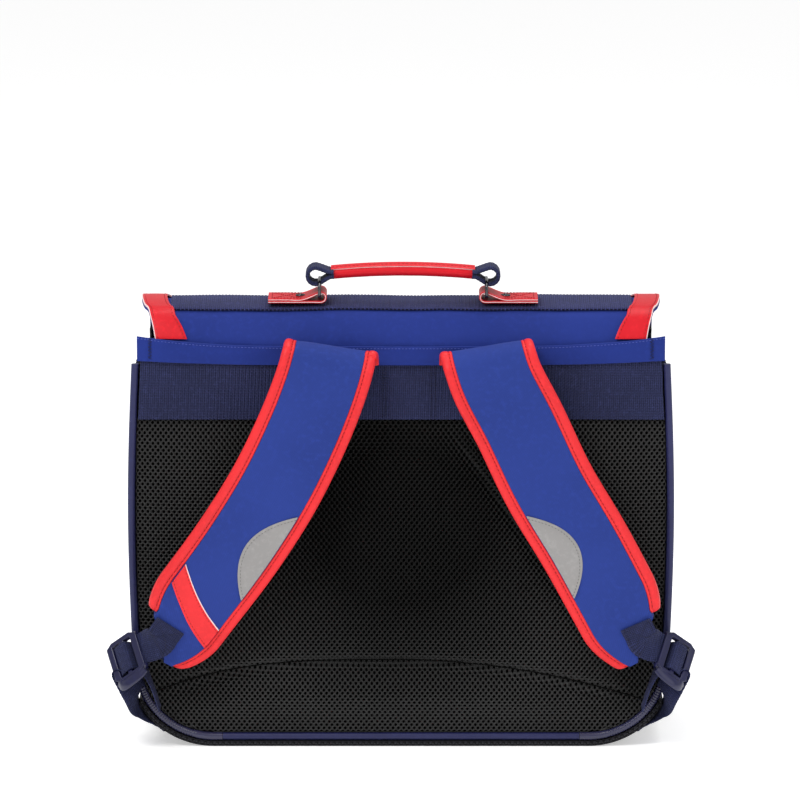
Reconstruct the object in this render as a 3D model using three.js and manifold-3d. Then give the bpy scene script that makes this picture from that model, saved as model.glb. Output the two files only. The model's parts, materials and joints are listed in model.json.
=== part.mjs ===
// School satchel-backpack with a padded mesh back, seen from its wearing side.
// Millimetres, +Z up. The back panel faces -Y and the front flap +Y.
// The origin is the centre of the base's underside.
import * as THREE from 'three';
import Module from 'manifold-3d';
import { mergeVertices } from 'three/addons/utils/BufferGeometryUtils.js';

const wasm = await Module();
wasm.setup();

// Fit
const clearance = 0.3;

// Body
const bodyWidth = 410;
const bodyDepth = 165;
const bodyTop = 292;
const cornerRadius = 58;
const sideBulge = 3.3;
const pipingRadius = 2.75;
const guardRadius = 3.1;
const guardRun = 6.4;
const baseSkin = 4;
const gussetWall = 2.5;
const gussetSag = 4;
const topGussetWall = 1.5;
const topGussetHeight = 36;
const topGussetLean = 11;
const frontDrop = 14;
const guardStartAngle = 20;
const baseStartAngle = 30;
const cornerStep = 10;

// Back panel
const padDepth = 10;
const padCrown = 8;
const padRecess = 2.4;
const lumbarSeamHeight = 64;
const lumbarSeamDrop = 26;
const lumbarSeamDepth = 5;
const lumbarSeamSpread = 8;
const creaseDepth = 2.2;
const creaseSpread = 10;
const creaseTopX = 33;
const creaseSlope = 0.68;
const bandHeight = 42;
const bandWall = 1.8;
const hemHeight = 19;
const hemLap = 3;
const hemSagTop = 8;
const hemSagBottom = 3.5;
const hemWall = 2.4;
const hemHalfWidth = 197.3;

// Front
const frontWall = 3;
const frontBulge = 5;

// Flap
const flapHalfWidth = 192.5;
const flapRise = 42;
const flapOverhang = 9;
const flapWall = 2.4;
const flapTrimWidth = 19;
const flapTrimFlare = 5;
const flapTrimFlareRun = 0.12;
const flapTrimWall = 1.5;
const topBandWidth = 50;
const topBandWall = 1.8;
const topBandSetback = 17;

// Carrying handle
const handleCentreX = 1.5;
const handleSetback = 33;
const tabLength = 44;
const tabBeforeRing = 1.2;
const tabDepth = 31;
const tabWall = 1.8;
const tabLoopRadius = 4.4;
const ringBeyondGrip = 8.6;
const ringHeight = 15.4;
const ringWire = 1.25;
const ringSquareness = 0.38;
const loopDepth = 22;
const loopWall = 3.2;
const loopRadius = 7.8;
const loopShift = 0.6;
const gripLength = 108;
const gripHeight = 9.2;
const gripDepth = 14;
const gripArch = 2.6;
const gripLift = 23.6;
const rivetRadius = 3.6;
const rivetHeight = 1.4;
const rivetBeyondRing = 14.4;

// Shoulder straps
const strapWidth = 70;
const strapThickness = 9;
const strapTop = 304.5;
const strapDrop = 230;
const strapBow = 35;
const strapEnd = 183.2;
const strapRootLeft = 54;
const strapRootRight = 64;
const strapEndSlant = 0.7;
const strapEndPoint = 12;
const outerRound = 12;
const outerPull = 7;
const innerRound = 35;
const innerPull = 20;
const bindingWidth = 9.2;
const bindingThickness = 8;
const patchWall = 0.9;
const reflectorLength = 74;
const reflectorWidth = 19;
const reflectorFromEndLeft = 111;
const reflectorFromEndRight = 103;
const bandStripWidth = 18;
const bandStripFromEnd = 27;
const bandStripSlant = 0.56;

// Strap ends, buckles and adjusters
const webbingWidth = 25;
const webbingWall = 1.4;
const tabOnStrap = 13;
const tabAside = 7;
const tabSlant = 0.44;
const buckleWidth = 34.6;
const buckleThickness = 6;
const buckleRail = 3.7;
const tabBar = 6;
const tabBarDepth = 2.8;
const coverThickness = 1.8;
const firstSlot = 6.4;
const middleBar = 4;
const secondSlot = 7;
const endBar = 5;
const buckleOut = 204.6;
const buckleUp = 72.6;
const buckleOffBack = 21;
const adjusterSetback = 17;
const adjusterSeatAngle = 40;
const tailOut = 181;
const tailUp = 33;
const tailOffBack = 19;

// Front closing straps
const closingOffset = 95;
const closingWidth = 25;
const closingWall = 2;
const closingTop = 165;
const closingBottom = 46;
const claspWidth = 36;
const claspHeight = 30;
const claspTop = 78;

// Places that follow from the sizes
const backY = -bodyDepth / 2;
const frontY = bodyDepth / 2;
const rimHalfWidest = bodyWidth / 2 - pipingRadius;
const rimHalfBase = rimHalfWidest - sideBulge;
const cornerX = rimHalfBase - cornerRadius;
const cornerZ = cornerRadius + guardRadius + clearance + baseSkin;
const seatInset = guardRadius + clearance;
const padEdgeY = backY + padRecess;
const bandY = padEdgeY - clearance;
const hemY = bandY - bandWall - clearance;
const bandBottom = bodyTop - bandHeight;
const hemBottom = bodyTop + hemLap;
const flapTop = bodyTop + flapRise;
const flapDepth = bodyDepth + flapOverhang;
const handleY = backY + handleSetback;
const ringOffset = gripLength / 2 + ringBeyondGrip;
const tabReach = ringOffset - tabBeforeRing - tabLoopRadius + tabLength;
const rivetOffset = ringOffset + rivetBeyondRing;
const frontTopShare = 1 - frontDrop / (bodyTop - cornerZ);
const buckleLength = tabBar + firstSlot + middleBar + secondSlot + endBar;

// The flap's outer face from its root over the roof to its front lip
const flapRows = [
  { deep: 0.002, high: 0.02, wide: 0.945 },
  { deep: 0.004, high: 0.36, wide: 0.957 },
  { deep: 0.040, high: 0.66, wide: 0.974 },
  { deep: 0.072, high: 0.83, wide: 0.990 },
  { deep: 0.105, high: 0.91, wide: 1.000 },
  { deep: 0.150, high: 0.945, wide: 1.000 },
  { deep: 0.260, high: 0.975, wide: 1.000 },
  { deep: 0.385, high: 0.955, wide: 1.000 },
  { deep: 0.520, high: 0.865, wide: 1.000 },
  { deep: 0.690, high: 0.720, wide: 1.000 },
  { deep: 0.860, high: 0.500, wide: 1.000 },
  { deep: 0.952, high: 0.220, wide: 1.000 },
  { deep: 0.988, high: -0.20, wide: 1.000 },
  { deep: 0.997, high: -0.90, wide: 1.002 },
  { deep: 1.000, high: -2.20, wide: 1.005 },
  { deep: 0.990, high: -4.50, wide: 1.008 },
];

// Both straps from their root over the roll to their cut end
const strapRows = [
  { down: 0.046, outLeft: 0.000, outRight: 0.000, bow: 0.140, tilt: 2, turn: 0, full: 0.28 },
  { down: 0.027, outLeft: 0.000, outRight: 0.000, bow: 0.220, tilt: 3, turn: 0, full: 0.50 },
  { down: 0.007, outLeft: 0.002, outRight: 0.000, bow: 0.350, tilt: 4, turn: 0, full: 0.80 },
  { down: 0.000, outLeft: 0.010, outRight: 0.006, bow: 0.520, tilt: 7, turn: 0, full: 0.96 },
  { down: 0.019, outLeft: 0.020, outRight: 0.020, bow: 0.730, tilt: 12, turn: 0, full: 1.00 },
  { down: 0.089, outLeft: 0.056, outRight: 0.068, bow: 0.860, tilt: 18, turn: 0, full: 1.00 },
  { down: 0.228, outLeft: 0.149, outRight: 0.208, bow: 0.970, tilt: 23, turn: 1, full: 1.00 },
  { down: 0.425, outLeft: 0.314, outRight: 0.389, bow: 1.000, tilt: 28, turn: 3, full: 1.00 },
  { down: 0.625, outLeft: 0.529, outRight: 0.614, bow: 0.950, tilt: 33, turn: 6, full: 1.00 },
  { down: 0.826, outLeft: 0.783, outRight: 0.819, bow: 0.840, tilt: 35, turn: 10, full: 1.00 },
  { down: 0.974, outLeft: 0.971, outRight: 0.969, bow: 0.730, tilt: 36, turn: 12, full: 1.00 },
  { down: 1.000, outLeft: 1.000, outRight: 1.000, bow: 0.710, tilt: 36, turn: 12, full: 1.00 },
];

const colours = {
  blue: 0x2c3d88,
  navy: 0x2b2d4e,
  black: 0x17171a,
  red: 0xd4222f,
  grey: 0xa2a09f,
  darkMetal: 0x34343a,
};

const bag = new THREE.Group();

function material(colour, roughness, metalness = 0) {
  return new THREE.MeshStandardMaterial({ color: colour, roughness, metalness });
}

const fabric = (colour) => material(colour, 0.85);
const leather = () => material(colours.red, 0.45);
const plastic = () => material(colours.navy, 0.4);
const metal = () => material(colours.darkMetal, 0.3, 0.9);

function addPiece(name, geometry, finish, parent = bag) {
  const mesh = new THREE.Mesh(geometry, finish);
  mesh.name = name;
  parent.add(mesh);
  return mesh;
}

function signedVolume(points, faces) {
  let sum = 0;
  for (const [a, b, c] of faces) {
    sum += points[a].dot(new THREE.Vector3().crossVectors(points[b], points[c]));
  }
  return sum / 6;
}

// A right-hand geometry as it is, or mirrored with its triangles turned over for the left
function onSide(geometry, sign) {
  if (sign > 0) return geometry;
  const flat = geometry.index ? geometry.toNonIndexed() : geometry;
  flat.scale(-1, 1, 1);
  const position = flat.getAttribute('position');
  const first = new THREE.Vector3();
  const second = new THREE.Vector3();
  for (let i = 0; i < position.count; i += 3) {
    first.fromBufferAttribute(position, i);
    second.fromBufferAttribute(position, i + 1);
    position.setXYZ(i, second.x, second.y, second.z);
    position.setXYZ(i + 1, first.x, first.y, first.z);
  }
  return flat;
}

// A closed body from points and triangles, with its faces turned outwards
function solid(points, faces) {
  const inward = signedVolume(points, faces) < 0;
  const geometry = new THREE.BufferGeometry();
  const flat = points.flatMap((p) => [p.x, p.y, p.z]);
  geometry.setAttribute('position', new THREE.Float32BufferAttribute(flat, 3));
  geometry.setIndex(faces.flatMap(([a, b, c]) => (inward ? [a, c, b] : [a, b, c])));
  return geometry;
}

// A body through closed rings of equal length, with a fan over each end or joined round
function loft(rings, joined = false) {
  const sides = rings[0].length;
  const points = rings.flat();
  const faces = [];
  const spans = joined ? rings.length : rings.length - 1;
  for (let i = 0; i < spans; i += 1) {
    const here = i * sides;
    const next = ((i + 1) % rings.length) * sides;
    for (let j = 0; j < sides; j += 1) {
      const k = (j + 1) % sides;
      faces.push([here + j, here + k, next + k], [here + j, next + k, next + j]);
    }
  }
  if (!joined) {
    const last = (rings.length - 1) * sides;
    for (let j = 1; j < sides - 1; j += 1) {
      faces.push([0, j + 1, j], [last, last + j, last + j + 1]);
    }
  }
  return solid(points, faces);
}

// A wall under the outer face pointAt(u, v), with u and v from 0 to 1
function sheet(pointAt, across, along, wallAt) {
  const width = across + 1;
  const outer = [];
  const inner = [];
  const nudge = 0.002;
  for (let j = 0; j <= along; j += 1) {
    for (let i = 0; i <= across; i += 1) {
      const u = i / across;
      const v = j / along;
      const at = pointAt(u, v);
      const du = pointAt(Math.min(u + nudge, 1), v).sub(pointAt(Math.max(u - nudge, 0), v));
      const dv = pointAt(u, Math.min(v + nudge, 1)).sub(pointAt(u, Math.max(v - nudge, 0)));
      const normal = du.cross(dv).normalize();
      outer.push(at);
      inner.push(at.clone().addScaledVector(normal, -wallAt(u, v)));
    }
  }
  const under = outer.length;
  const faces = [];
  const quad = (a, b, c, d) => faces.push([a, b, c], [a, c, d]);
  for (let j = 0; j < along; j += 1) {
    for (let i = 0; i < across; i += 1) {
      const a = j * width + i;
      quad(a, a + 1, a + 1 + width, a + width);
      quad(under + a, under + a + width, under + a + 1 + width, under + a + 1);
    }
  }
  for (let i = 0; i < across; i += 1) {
    const top = along * width + i;
    quad(i + 1, i, under + i, under + i + 1);
    quad(top, top + 1, under + top + 1, under + top);
  }
  for (let j = 0; j < along; j += 1) {
    const left = j * width;
    const right = left + across;
    quad(left, left + width, under + left + width, under + left);
    quad(right + width, right, under + right, under + right + width);
  }
  return solid([...outer, ...inner], faces);
}

// A smooth curve through the rows of a table, by three of its columns at a time
function columnCurve(rows, toVector) {
  return new THREE.CatmullRomCurve3(rows.map(toVector), false, 'centripetal');
}

// A flat strip along a curve: sideways(t) gives the direction of its width
function ribbon(curve, sideways, width, wall, steps) {
  const rings = [];
  for (let i = 0; i <= steps; i += 1) {
    const t = i / steps;
    const at = curve.getPoint(t);
    const tangent = curve.getTangent(t);
    const side = sideways(t);
    side.addScaledVector(tangent, -side.dot(tangent)).normalize();
    const up = new THREE.Vector3().crossVectors(tangent, side);
    const corner = (s, n) => at.clone().addScaledVector(side, s * width / 2).addScaledVector(up, n * wall / 2);
    rings.push([corner(-1, -1), corner(1, -1), corner(1, 1), corner(-1, 1)]);
  }
  return loft(rings);
}

const radians = THREE.MathUtils.degToRad;

// Half the width of the rim at a height above the corner
function rimHalfAt(z) {
  const share = (z - cornerZ) / (bodyTop - cornerZ);
  return rimHalfBase + sideBulge * Math.sin(Math.PI * share);
}

// Stations of the rim on the right side, each with its outward direction
function sideStation(share) {
  const z = cornerZ + share * (bodyTop - cornerZ);
  return { x: rimHalfAt(z), z, outX: 1, outZ: 0 };
}

function cornerStation(angle) {
  const outX = Math.cos(radians(angle));
  const outZ = -Math.sin(radians(angle));
  return { x: cornerX + cornerRadius * outX, z: cornerZ + cornerRadius * outZ, outX, outZ };
}

function bottomStation(x) {
  return { x, z: cornerZ - cornerRadius, outX: 0, outZ: -1 };
}

function mirrored(station) {
  return { ...station, x: -station.x, outX: -station.outX };
}

function sideStations(steps, topShare = 1) {
  const list = [];
  for (let i = steps; i > 0; i -= 1) {
    list.push(sideStation(topShare * i / steps));
  }
  return list;
}

function cornerStations(from, to) {
  const list = [];
  for (let angle = from; angle <= to; angle += cornerStep) {
    list.push(cornerStation(angle));
  }
  return list;
}

function wholeRim(halfRim) {
  return [...halfRim, ...halfRim.map(mirrored).reverse()];
}

// A point beside a rim station, so far outwards and at a depth
function besideRim(station, outwards, y) {
  return new THREE.Vector3(station.x + station.outX * outwards, y, station.z + station.outZ * outwards);
}

function rimTube(stations, radius, y, sides = 6) {
  const rings = stations.map((station) => {
    const ring = [];
    for (let j = 0; j < sides; j += 1) {
      const angle = 2 * Math.PI * (j + 0.5) / sides;
      ring.push(besideRim(station, radius * Math.cos(angle), y + radius * Math.sin(angle)));
    }
    return ring;
  });
  return loft(rings);
}

function bell(distance, spread) {
  return Math.exp(-((distance / spread) ** 2));
}

// How far the padded back stands out, from its flat edge, at a share u of the half width
function padOut(u, z) {
  const across = 1 - u ** 4;
  const fade = THREE.MathUtils.smoothstep(bandBottom - z, 0, 0.16 * bandBottom);
  const low = THREE.MathUtils.smoothstep(z, cornerZ - cornerRadius, cornerZ - 0.3 * cornerRadius);
  const seamZ = lumbarSeamHeight - lumbarSeamDrop * Math.abs(u) ** 2.5;
  const seam = lumbarSeamDepth * bell(z - seamZ, lumbarSeamSpread);
  const creaseX = creaseTopX + creaseSlope * (bandBottom - z);
  const aboveSeam = THREE.MathUtils.smoothstep(z, seamZ, seamZ + 40);
  const crease = creaseDepth * bell(Math.abs(u) * rimHalfWidest - creaseX, creaseSpread) * aboveSeam;
  return fade * low * Math.max(0, across * padCrown - (seam + crease) * Math.min(1, 2 * across));
}

function backPanel() {
  const across = 26;
  const halfRim = [...sideStations(10), ...cornerStations(0, 90)];
  const edges = halfRim.map((station) => besideRim(station, -seatInset, padEdgeY)).reverse();
  const width = across + 1;
  const points = [];
  for (const edge of edges) {
    for (let i = 0; i <= across; i += 1) {
      const u = 2 * i / across - 1;
      points.push(new THREE.Vector3(u * edge.x, padEdgeY - padOut(u, edge.z), edge.z));
    }
  }
  const faces = [];
  const last = edges.length - 1;
  for (let j = 0; j < last; j += 1) {
    for (let i = 0; i < across; i += 1) {
      const a = j * width + i;
      faces.push([a, a + 1, a + 1 + width], [a, a + 1 + width, a + width]);
    }
  }
  const rim = [];
  for (let i = 0; i < across; i += 1) rim.push(i);
  for (let j = 0; j < last; j += 1) rim.push(j * width + across);
  for (let i = across; i > 0; i -= 1) rim.push(last * width + i);
  for (let j = last; j > 0; j -= 1) rim.push(j * width);
  const under = points.length;
  rim.forEach((index) => points.push(points[index].clone().setY(padEdgeY + padDepth)));
  points.push(new THREE.Vector3(0, padEdgeY + padDepth, (cornerZ + bodyTop) / 2));
  rim.forEach((index, k) => {
    const next = (k + 1) % rim.length;
    faces.push([index, under + k, under + next], [index, under + next, rim[next]]);
    faces.push([under + k, points.length - 1, under + next]);
  });
  addPiece('back_panel', solid(points, faces), fabric(colours.black));
}

function backWebbing() {
  const halfAt = (z) => rimHalfAt(z) - seatInset - clearance;
  const pointAt = (u, v) => {
    const z = bandBottom + v * bandHeight;
    return new THREE.Vector3((2 * u - 1) * halfAt(z), bandY - bandWall, z);
  };
  addPiece('back_webbing', sheet(pointAt, 2, 4, () => bandWall), fabric(colours.navy));
}

function hemBand() {
  const pointAt = (u, v) => {
    const x = (2 * u - 1) * hemHalfWidth;
    const sag = THREE.MathUtils.lerp(hemSagBottom, hemSagTop, v) * (1 - (2 * u - 1) ** 4);
    return new THREE.Vector3(x, hemY - hemWall, hemBottom + v * hemHeight - sag);
  };
  addPiece('hem_band', sheet(pointAt, 16, 2, () => hemWall), fabric(colours.blue));
}

function sideGusset(side, sign) {
  const nearY = backY + 2 * pipingRadius + clearance;
  const farY = -nearY;
  const stations = [...sideStations(8), ...cornerStations(0, baseStartAngle - cornerStep)];
  const lowest = cornerStation(baseStartAngle - Math.asin(clearance / cornerRadius) * 180 / Math.PI);
  stations.push(lowest);
  const pointAt = (u, v) => {
    const place = v * (stations.length - 1);
    const before = Math.min(Math.floor(place), stations.length - 2);
    const blend = place - before;
    const a = stations[before];
    const b = stations[before + 1];
    const sag = gussetSag * Math.sin(Math.PI * u) ** 2 * Math.sin(Math.PI * Math.min(1, v + 0.1)) ** 2;
    const y = THREE.MathUtils.lerp(nearY, farY, u);
    const inset = pipingRadius - gussetWall + sag;
    const point = besideRim(a, -inset, y).lerp(besideRim(b, -inset, y), blend);
    point.z -= frontDrop * u * THREE.MathUtils.smoothstep(point.z, cornerZ, bodyTop);
    return point;
  };
  const right = sheet(pointAt, 6, stations.length - 1, () => gussetWall);
  addPiece(`side_${side}`, onSide(right, sign), fabric(colours.navy));
}

// The black upper corner of the gusset, under the flap
function topGusset(side, sign) {
  const start = rimHalfAt(bodyTop) - pipingRadius + gussetWall;
  const nearY = backY + 2 * pipingRadius + clearance;
  const pointAt = (u, v) => {
    const arch = Math.sin(Math.PI * (0.15 + 0.7 * u));
    const rise = v * topGussetHeight * (0.45 + 0.55 * arch) * (1 - 0.45 * u);
    const y = THREE.MathUtils.lerp(backY + 12, frontY - 18, u);
    const drop = frontDrop * (y - nearY) / (-2 * nearY);
    const z = bodyTop + clearance - drop + rise;
    const lean = topGussetLean * THREE.MathUtils.smoothstep(v, 0, 0.25);
    return new THREE.Vector3(sign * (start - lean), y, z);
  };
  addPiece(`top_gusset_${side}`, sheet(pointAt, 6, 3, () => topGussetWall * sign), fabric(colours.black));
}

// The stiff base turns up both corners and carries the piping on its edges
function base() {
  const outside = guardRadius + clearance + baseSkin;
  const underPiping = guardRadius + clearance;
  const inside = -pipingRadius;
  const stepY = frontY - 2 * pipingRadius - clearance;
  const section = [
    [outside, backY], [outside, frontY], [underPiping, frontY], [underPiping, stepY],
    [inside, stepY], [inside, -stepY], [underPiping, -stepY], [underPiping, backY],
  ];
  const halfRim = cornerStations(baseStartAngle, 90);
  const rings = wholeRim(halfRim).map((station) => section.map(([out, y]) => besideRim(station, out, y)));
  const mid = section.length;
  const sides = rings[0].length;
  const points = rings.flat();
  const faces = [];
  for (let i = 0; i < rings.length - 1; i += 1) {
    for (let j = 0; j < sides; j += 1) {
      const k = (j + 1) % sides;
      const here = i * sides;
      const next = here + sides;
      faces.push([here + j, here + k, next + k], [here + j, next + k, next + j]);
    }
  }
  const outline = section.map(([out, y]) => new THREE.Vector2(out, y));
  const cap = THREE.ShapeUtils.triangulateShape(outline, []);
  const last = (rings.length - 1) * mid;
  cap.forEach(([a, b, c]) => faces.push([a, c, b], [last + a, last + b, last + c]));
  addPiece('base', solid(points, orientCaps(points, faces, cap.length)), fabric(colours.black));
}

// Caps are cut apart from the walls, so both are turned to match their neighbours
function orientCaps(points, faces, capCount) {
  const walls = faces.slice(0, faces.length - 2 * capCount);
  const caps = faces.slice(faces.length - 2 * capCount);
  const edges = new Set(walls.flatMap(([a, b, c]) => [`${a},${b}`, `${b},${c}`, `${c},${a}`]));
  const clashes = (list) => list.some(([a, b, c]) => (
    edges.has(`${a},${b}`) || edges.has(`${b},${c}`) || edges.has(`${c},${a}`)));
  const turn = (list) => (clashes(list) ? list.map(([a, b, c]) => [a, c, b]) : list);
  const starts = caps.filter((face, i) => i % 2 === 0);
  const ends = caps.filter((face, i) => i % 2 === 1);
  return [...walls, ...turn(starts), ...turn(ends)];
}

function frontSurfaceY(x, z) {
  const u = x / rimHalfWidest;
  const w = (z - cornerZ + cornerRadius) / (bodyTop - cornerZ + cornerRadius);
  const swell = (1 - u ** 4) * Math.sin(Math.PI * THREE.MathUtils.clamp(w, 0, 1));
  return frontY - pipingRadius + frontBulge * swell;
}

function frontPanel() {
  const edges = [...sideStations(8, frontTopShare), ...cornerStations(0, 90)]
    .map((station) => besideRim(station, -seatInset, 0));
  const pointAt = (u, v) => {
    const place = v * (edges.length - 1);
    const before = Math.min(Math.floor(place), edges.length - 2);
    const edge = edges[before].clone().lerp(edges[before + 1], place - before);
    const x = (1 - 2 * u) * edge.x;
    return new THREE.Vector3(x, frontSurfaceY(x, edge.z), edge.z);
  };
  const front = sheet(pointAt, 8, edges.length - 1, () => -frontWall);
  addPiece('front_panel', front, fabric(colours.blue));
}

function pipings() {
  const y = backY + pipingRadius;
  const side = [...sideStations(6), ...cornerStations(0, guardStartAngle)];
  const guard = [...cornerStations(guardStartAngle, 90), bottomStation(cornerX - guardRun)];
  const gap = clearance / cornerRadius * 180 / Math.PI;
  guard[0] = cornerStation(guardStartAngle + gap);
  const bottom = [bottomStation(cornerX - guardRun - clearance)];
  addPiece('piping_right', rimTube(side, pipingRadius, y), fabric(colours.navy));
  addPiece('piping_left', rimTube(side.map(mirrored), pipingRadius, y), fabric(colours.navy));
  addPiece('piping_guard_right', rimTube(guard, guardRadius, y, 8), plastic());
  addPiece('piping_guard_left', rimTube(guard.map(mirrored), guardRadius, y, 8), plastic());
  addPiece('piping_bottom', rimTube(wholeRim(bottom), pipingRadius, y), fabric(colours.navy));
  const front = wholeRim([...sideStations(6, frontTopShare), ...cornerStations(0, 90)]);
  addPiece('piping_front', rimTube(front, pipingRadius, -y), fabric(colours.navy));
}

const flapProfile = columnCurve(flapRows, (row) => (
  new THREE.Vector3(row.wide * flapHalfWidth, backY + row.deep * flapDepth, bodyTop + row.high * flapRise)));

// A point over the flap's outer face: lift is the height above it
function overFlap(x, along, lift) {
  const at = flapProfile.getPoint(along);
  const tangent = flapProfile.getTangent(along).setX(0).normalize();
  const y = at.y - tangent.z * lift;
  const z = at.z + tangent.y * lift;
  return new THREE.Vector3(x, y, z);
}

const flapSteps = 30;

function flap() {
  const pointAt = (u, v) => overFlap((2 * u - 1) * flapProfile.getPoint(v).x, v, 0);
  addPiece('flap', sheet(pointAt, 6, flapSteps, () => flapWall), fabric(colours.blue));
}

// The leather trim keeps the flap's own steps, from above the hem to the front lip
function flapTrim(side, sign) {
  const lift = clearance + flapTrimWall;
  const hemTop = hemBottom + hemHeight - hemSagTop / 4 + clearance;
  let first = 1;
  while (overFlap(0, first / flapSteps, lift).z < hemTop) first += 1;
  const pointAt = (u, v) => {
    const along = (first + v * (flapSteps - first)) / flapSteps;
    const flare = flapTrimFlare * Math.max(0, 1 - v / flapTrimFlareRun);
    const x = sign * (flapProfile.getPoint(along).x - (flapTrimWidth + flare) * (1 - u));
    return overFlap(x, along, lift);
  };
  const trim = sheet(pointAt, 1, flapSteps - first, () => sign * flapTrimWall);
  addPiece(`flap_trim_${side}`, trim, leather());
}

// The share of the flap's curve that lies so far behind the back edge
function alongFlap(setback) {
  let low = 0;
  let high = 0.7;
  for (let i = 0; i < 40; i += 1) {
    const middle = (low + high) / 2;
    if (flapProfile.getPoint(middle).y < backY + setback) low = middle;
    else high = middle;
  }
  return (low + high) / 2;
}

function topWebbing() {
  const start = alongFlap(topBandSetback);
  const end = alongFlap(topBandSetback + topBandWidth);
  const half = flapHalfWidth - flapTrimWidth - clearance;
  const pointAt = (u, v) => (
    overFlap((2 * u - 1) * half, THREE.MathUtils.lerp(start, end, v), clearance + topBandWall));
  addPiece('top_webbing', sheet(pointAt, 6, 6, () => topBandWall), fabric(colours.navy));
}

// Height of the top webbing's upper face under the handle
function handleSeat() {
  const half = tabDepth / 2;
  const heights = [-half, 0, half].map((offset) => (
    overFlap(0, alongFlap(handleSetback + offset), clearance + topBandWall).z));
  return Math.max(...heights) + clearance;
}

const seatZ = handleSeat();

// A plate of an outline with openings, centred on its middle layer
function plate(outline, openings, depth) {
  const clockwise = THREE.ShapeUtils.isClockWise;
  const shape = new THREE.Shape(clockwise(outline) ? outline.reverse() : outline);
  for (const opening of openings) {
    shape.holes.push(new THREE.Path(clockwise(opening) ? opening : opening.reverse()));
  }
  const geometry = new THREE.ExtrudeGeometry(shape, { depth, bevelEnabled: false });
  geometry.translate(0, 0, -depth / 2);
  return geometry;
}

function rectangle(left, right, low, high) {
  return [[left, low], [right, low], [right, high], [left, high]].map(([x, y]) => new THREE.Vector2(x, y));
}

// An outline beside the handle's middle, given depth along Y and put on one side
function handlePlate(name, outline, opening, depth, finish, sign) {
  const upright = plate(outline, [opening], depth);
  upright.rotateX(Math.PI / 2);
  const geometry = onSide(upright, sign);
  geometry.translate(handleCentreX, handleY, 0);
  addPiece(name, geometry, finish);
}

// Points of an arc, with its angles in half turns from the inner side
function arcPoints(x, z, radius, from, to, steps) {
  const points = [];
  for (let i = 0; i <= steps; i += 1) {
    const angle = Math.PI * THREE.MathUtils.lerp(from, to, i / steps);
    points.push(new THREE.Vector2(x + radius * Math.cos(angle), z + radius * Math.sin(angle)));
  }
  return points;
}

// A leather strip folded into a loop at its inner end and laid back on itself
function handleTab(side, sign) {
  const loopX = tabReach - tabLength + tabLoopRadius;
  const low = seatZ;
  const middle = low + tabLoopRadius;
  const top = low + 2 * tabWall;
  const outline = [
    new THREE.Vector2(tabReach, top),
    new THREE.Vector2(tabReach, low),
    ...arcPoints(loopX, middle, tabLoopRadius, -0.5, -1.6, 8),
    new THREE.Vector2(loopX + 0.25 * tabLength, top),
  ];
  const opening = [
    new THREE.Vector2(loopX + 0.15 * tabLength, low + tabWall),
    ...arcPoints(loopX, middle, tabLoopRadius - tabWall, -0.5, -1.6, 8),
  ];
  handlePlate(`handle_tab_${side}`, outline, opening, tabDepth, leather(), sign);
}

function handleRivet(side, sign) {
  const z = seatZ + 2 * tabWall + clearance;
  const profile = [
    new THREE.Vector2(0, 0),
    new THREE.Vector2(rivetRadius, 0),
    new THREE.Vector2(rivetRadius, 0.4 * rivetHeight),
    new THREE.Vector2(0.6 * rivetRadius, rivetHeight),
    new THREE.Vector2(0, rivetHeight),
  ];
  const rivet = addPiece(`rivet_${side}`, new THREE.LatheGeometry(profile, 12), metal());
  rivet.rotation.x = Math.PI / 2;
  rivet.position.set(handleCentreX + sign * rivetOffset, handleY, z);
}

// An oval ring upright in the YZ plane, through the leather loop and the webbing loop
function handleRing(side, sign) {
  const sides = 6;
  const steps = 20;
  const halfLength = tabDepth / 2 + ringWire + 2 * clearance;
  const halfHeight = ringHeight / 2;
  const bottomZ = seatZ + tabWall + ringWire + clearance;
  const centre = new THREE.Vector3(handleCentreX + sign * ringOffset, handleY, bottomZ + halfHeight);
  const rings = [];
  for (let i = 0; i < steps; i += 1) {
    const angle = 2 * Math.PI * i / steps;
    const cos = Math.cos(angle);
    const sin = Math.sin(angle);
    const along = Math.sign(cos) * Math.abs(cos) ** ringSquareness;
    const up = Math.sign(sin) * Math.abs(sin) ** ringSquareness;
    const y = along * halfLength;
    const z = up * halfHeight;
    const outward = new THREE.Vector3(0, y / halfLength, z / halfHeight).normalize();
    const ring = [];
    for (let j = 0; j < sides; j += 1) {
      const turn = 2 * Math.PI * j / sides;
      const point = new THREE.Vector3(0, y, z)
        .addScaledVector(outward, ringWire * Math.cos(turn))
        .add(new THREE.Vector3(ringWire * Math.sin(turn), 0, 0))
        .add(centre);
      ring.push(point);
    }
    rings.push(ring);
  }
  addPiece(`ring_${side}`, loft(rings, true), metal());
}

function gripCentreZ() {
  return seatZ + gripLift - clearance;
}

// Webbing from the end of the grip round the ring and back
function handleLoop(side, sign) {
  const gripEnd = gripLength / 2 + clearance;
  const innerRadius = loopRadius - loopWall;
  const loopX = ringOffset + innerRadius - ringWire - loopShift;
  const ringTop = seatZ + tabWall + clearance + 2 * ringWire + ringHeight;
  const loopZ = ringTop + 0.4 - 0.15 * innerRadius;
  const half = gripHeight * 0.36;
  const gripZ = gripCentreZ() - gripArch;
  const outline = [
    new THREE.Vector2(gripEnd, gripZ + half),
    new THREE.Vector2(gripEnd, gripZ - half),
    ...arcPoints(loopX, loopZ, loopRadius, -0.6, 0.5, 9),
  ];
  const opening = [
    new THREE.Vector2(gripEnd + 1.4 * loopWall, gripZ),
    ...arcPoints(loopX, loopZ, innerRadius, -0.6, 0.5, 9),
  ];
  handlePlate(`handle_loop_${side}`, outline, opening, loopDepth, fabric(colours.navy), sign);
}

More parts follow.
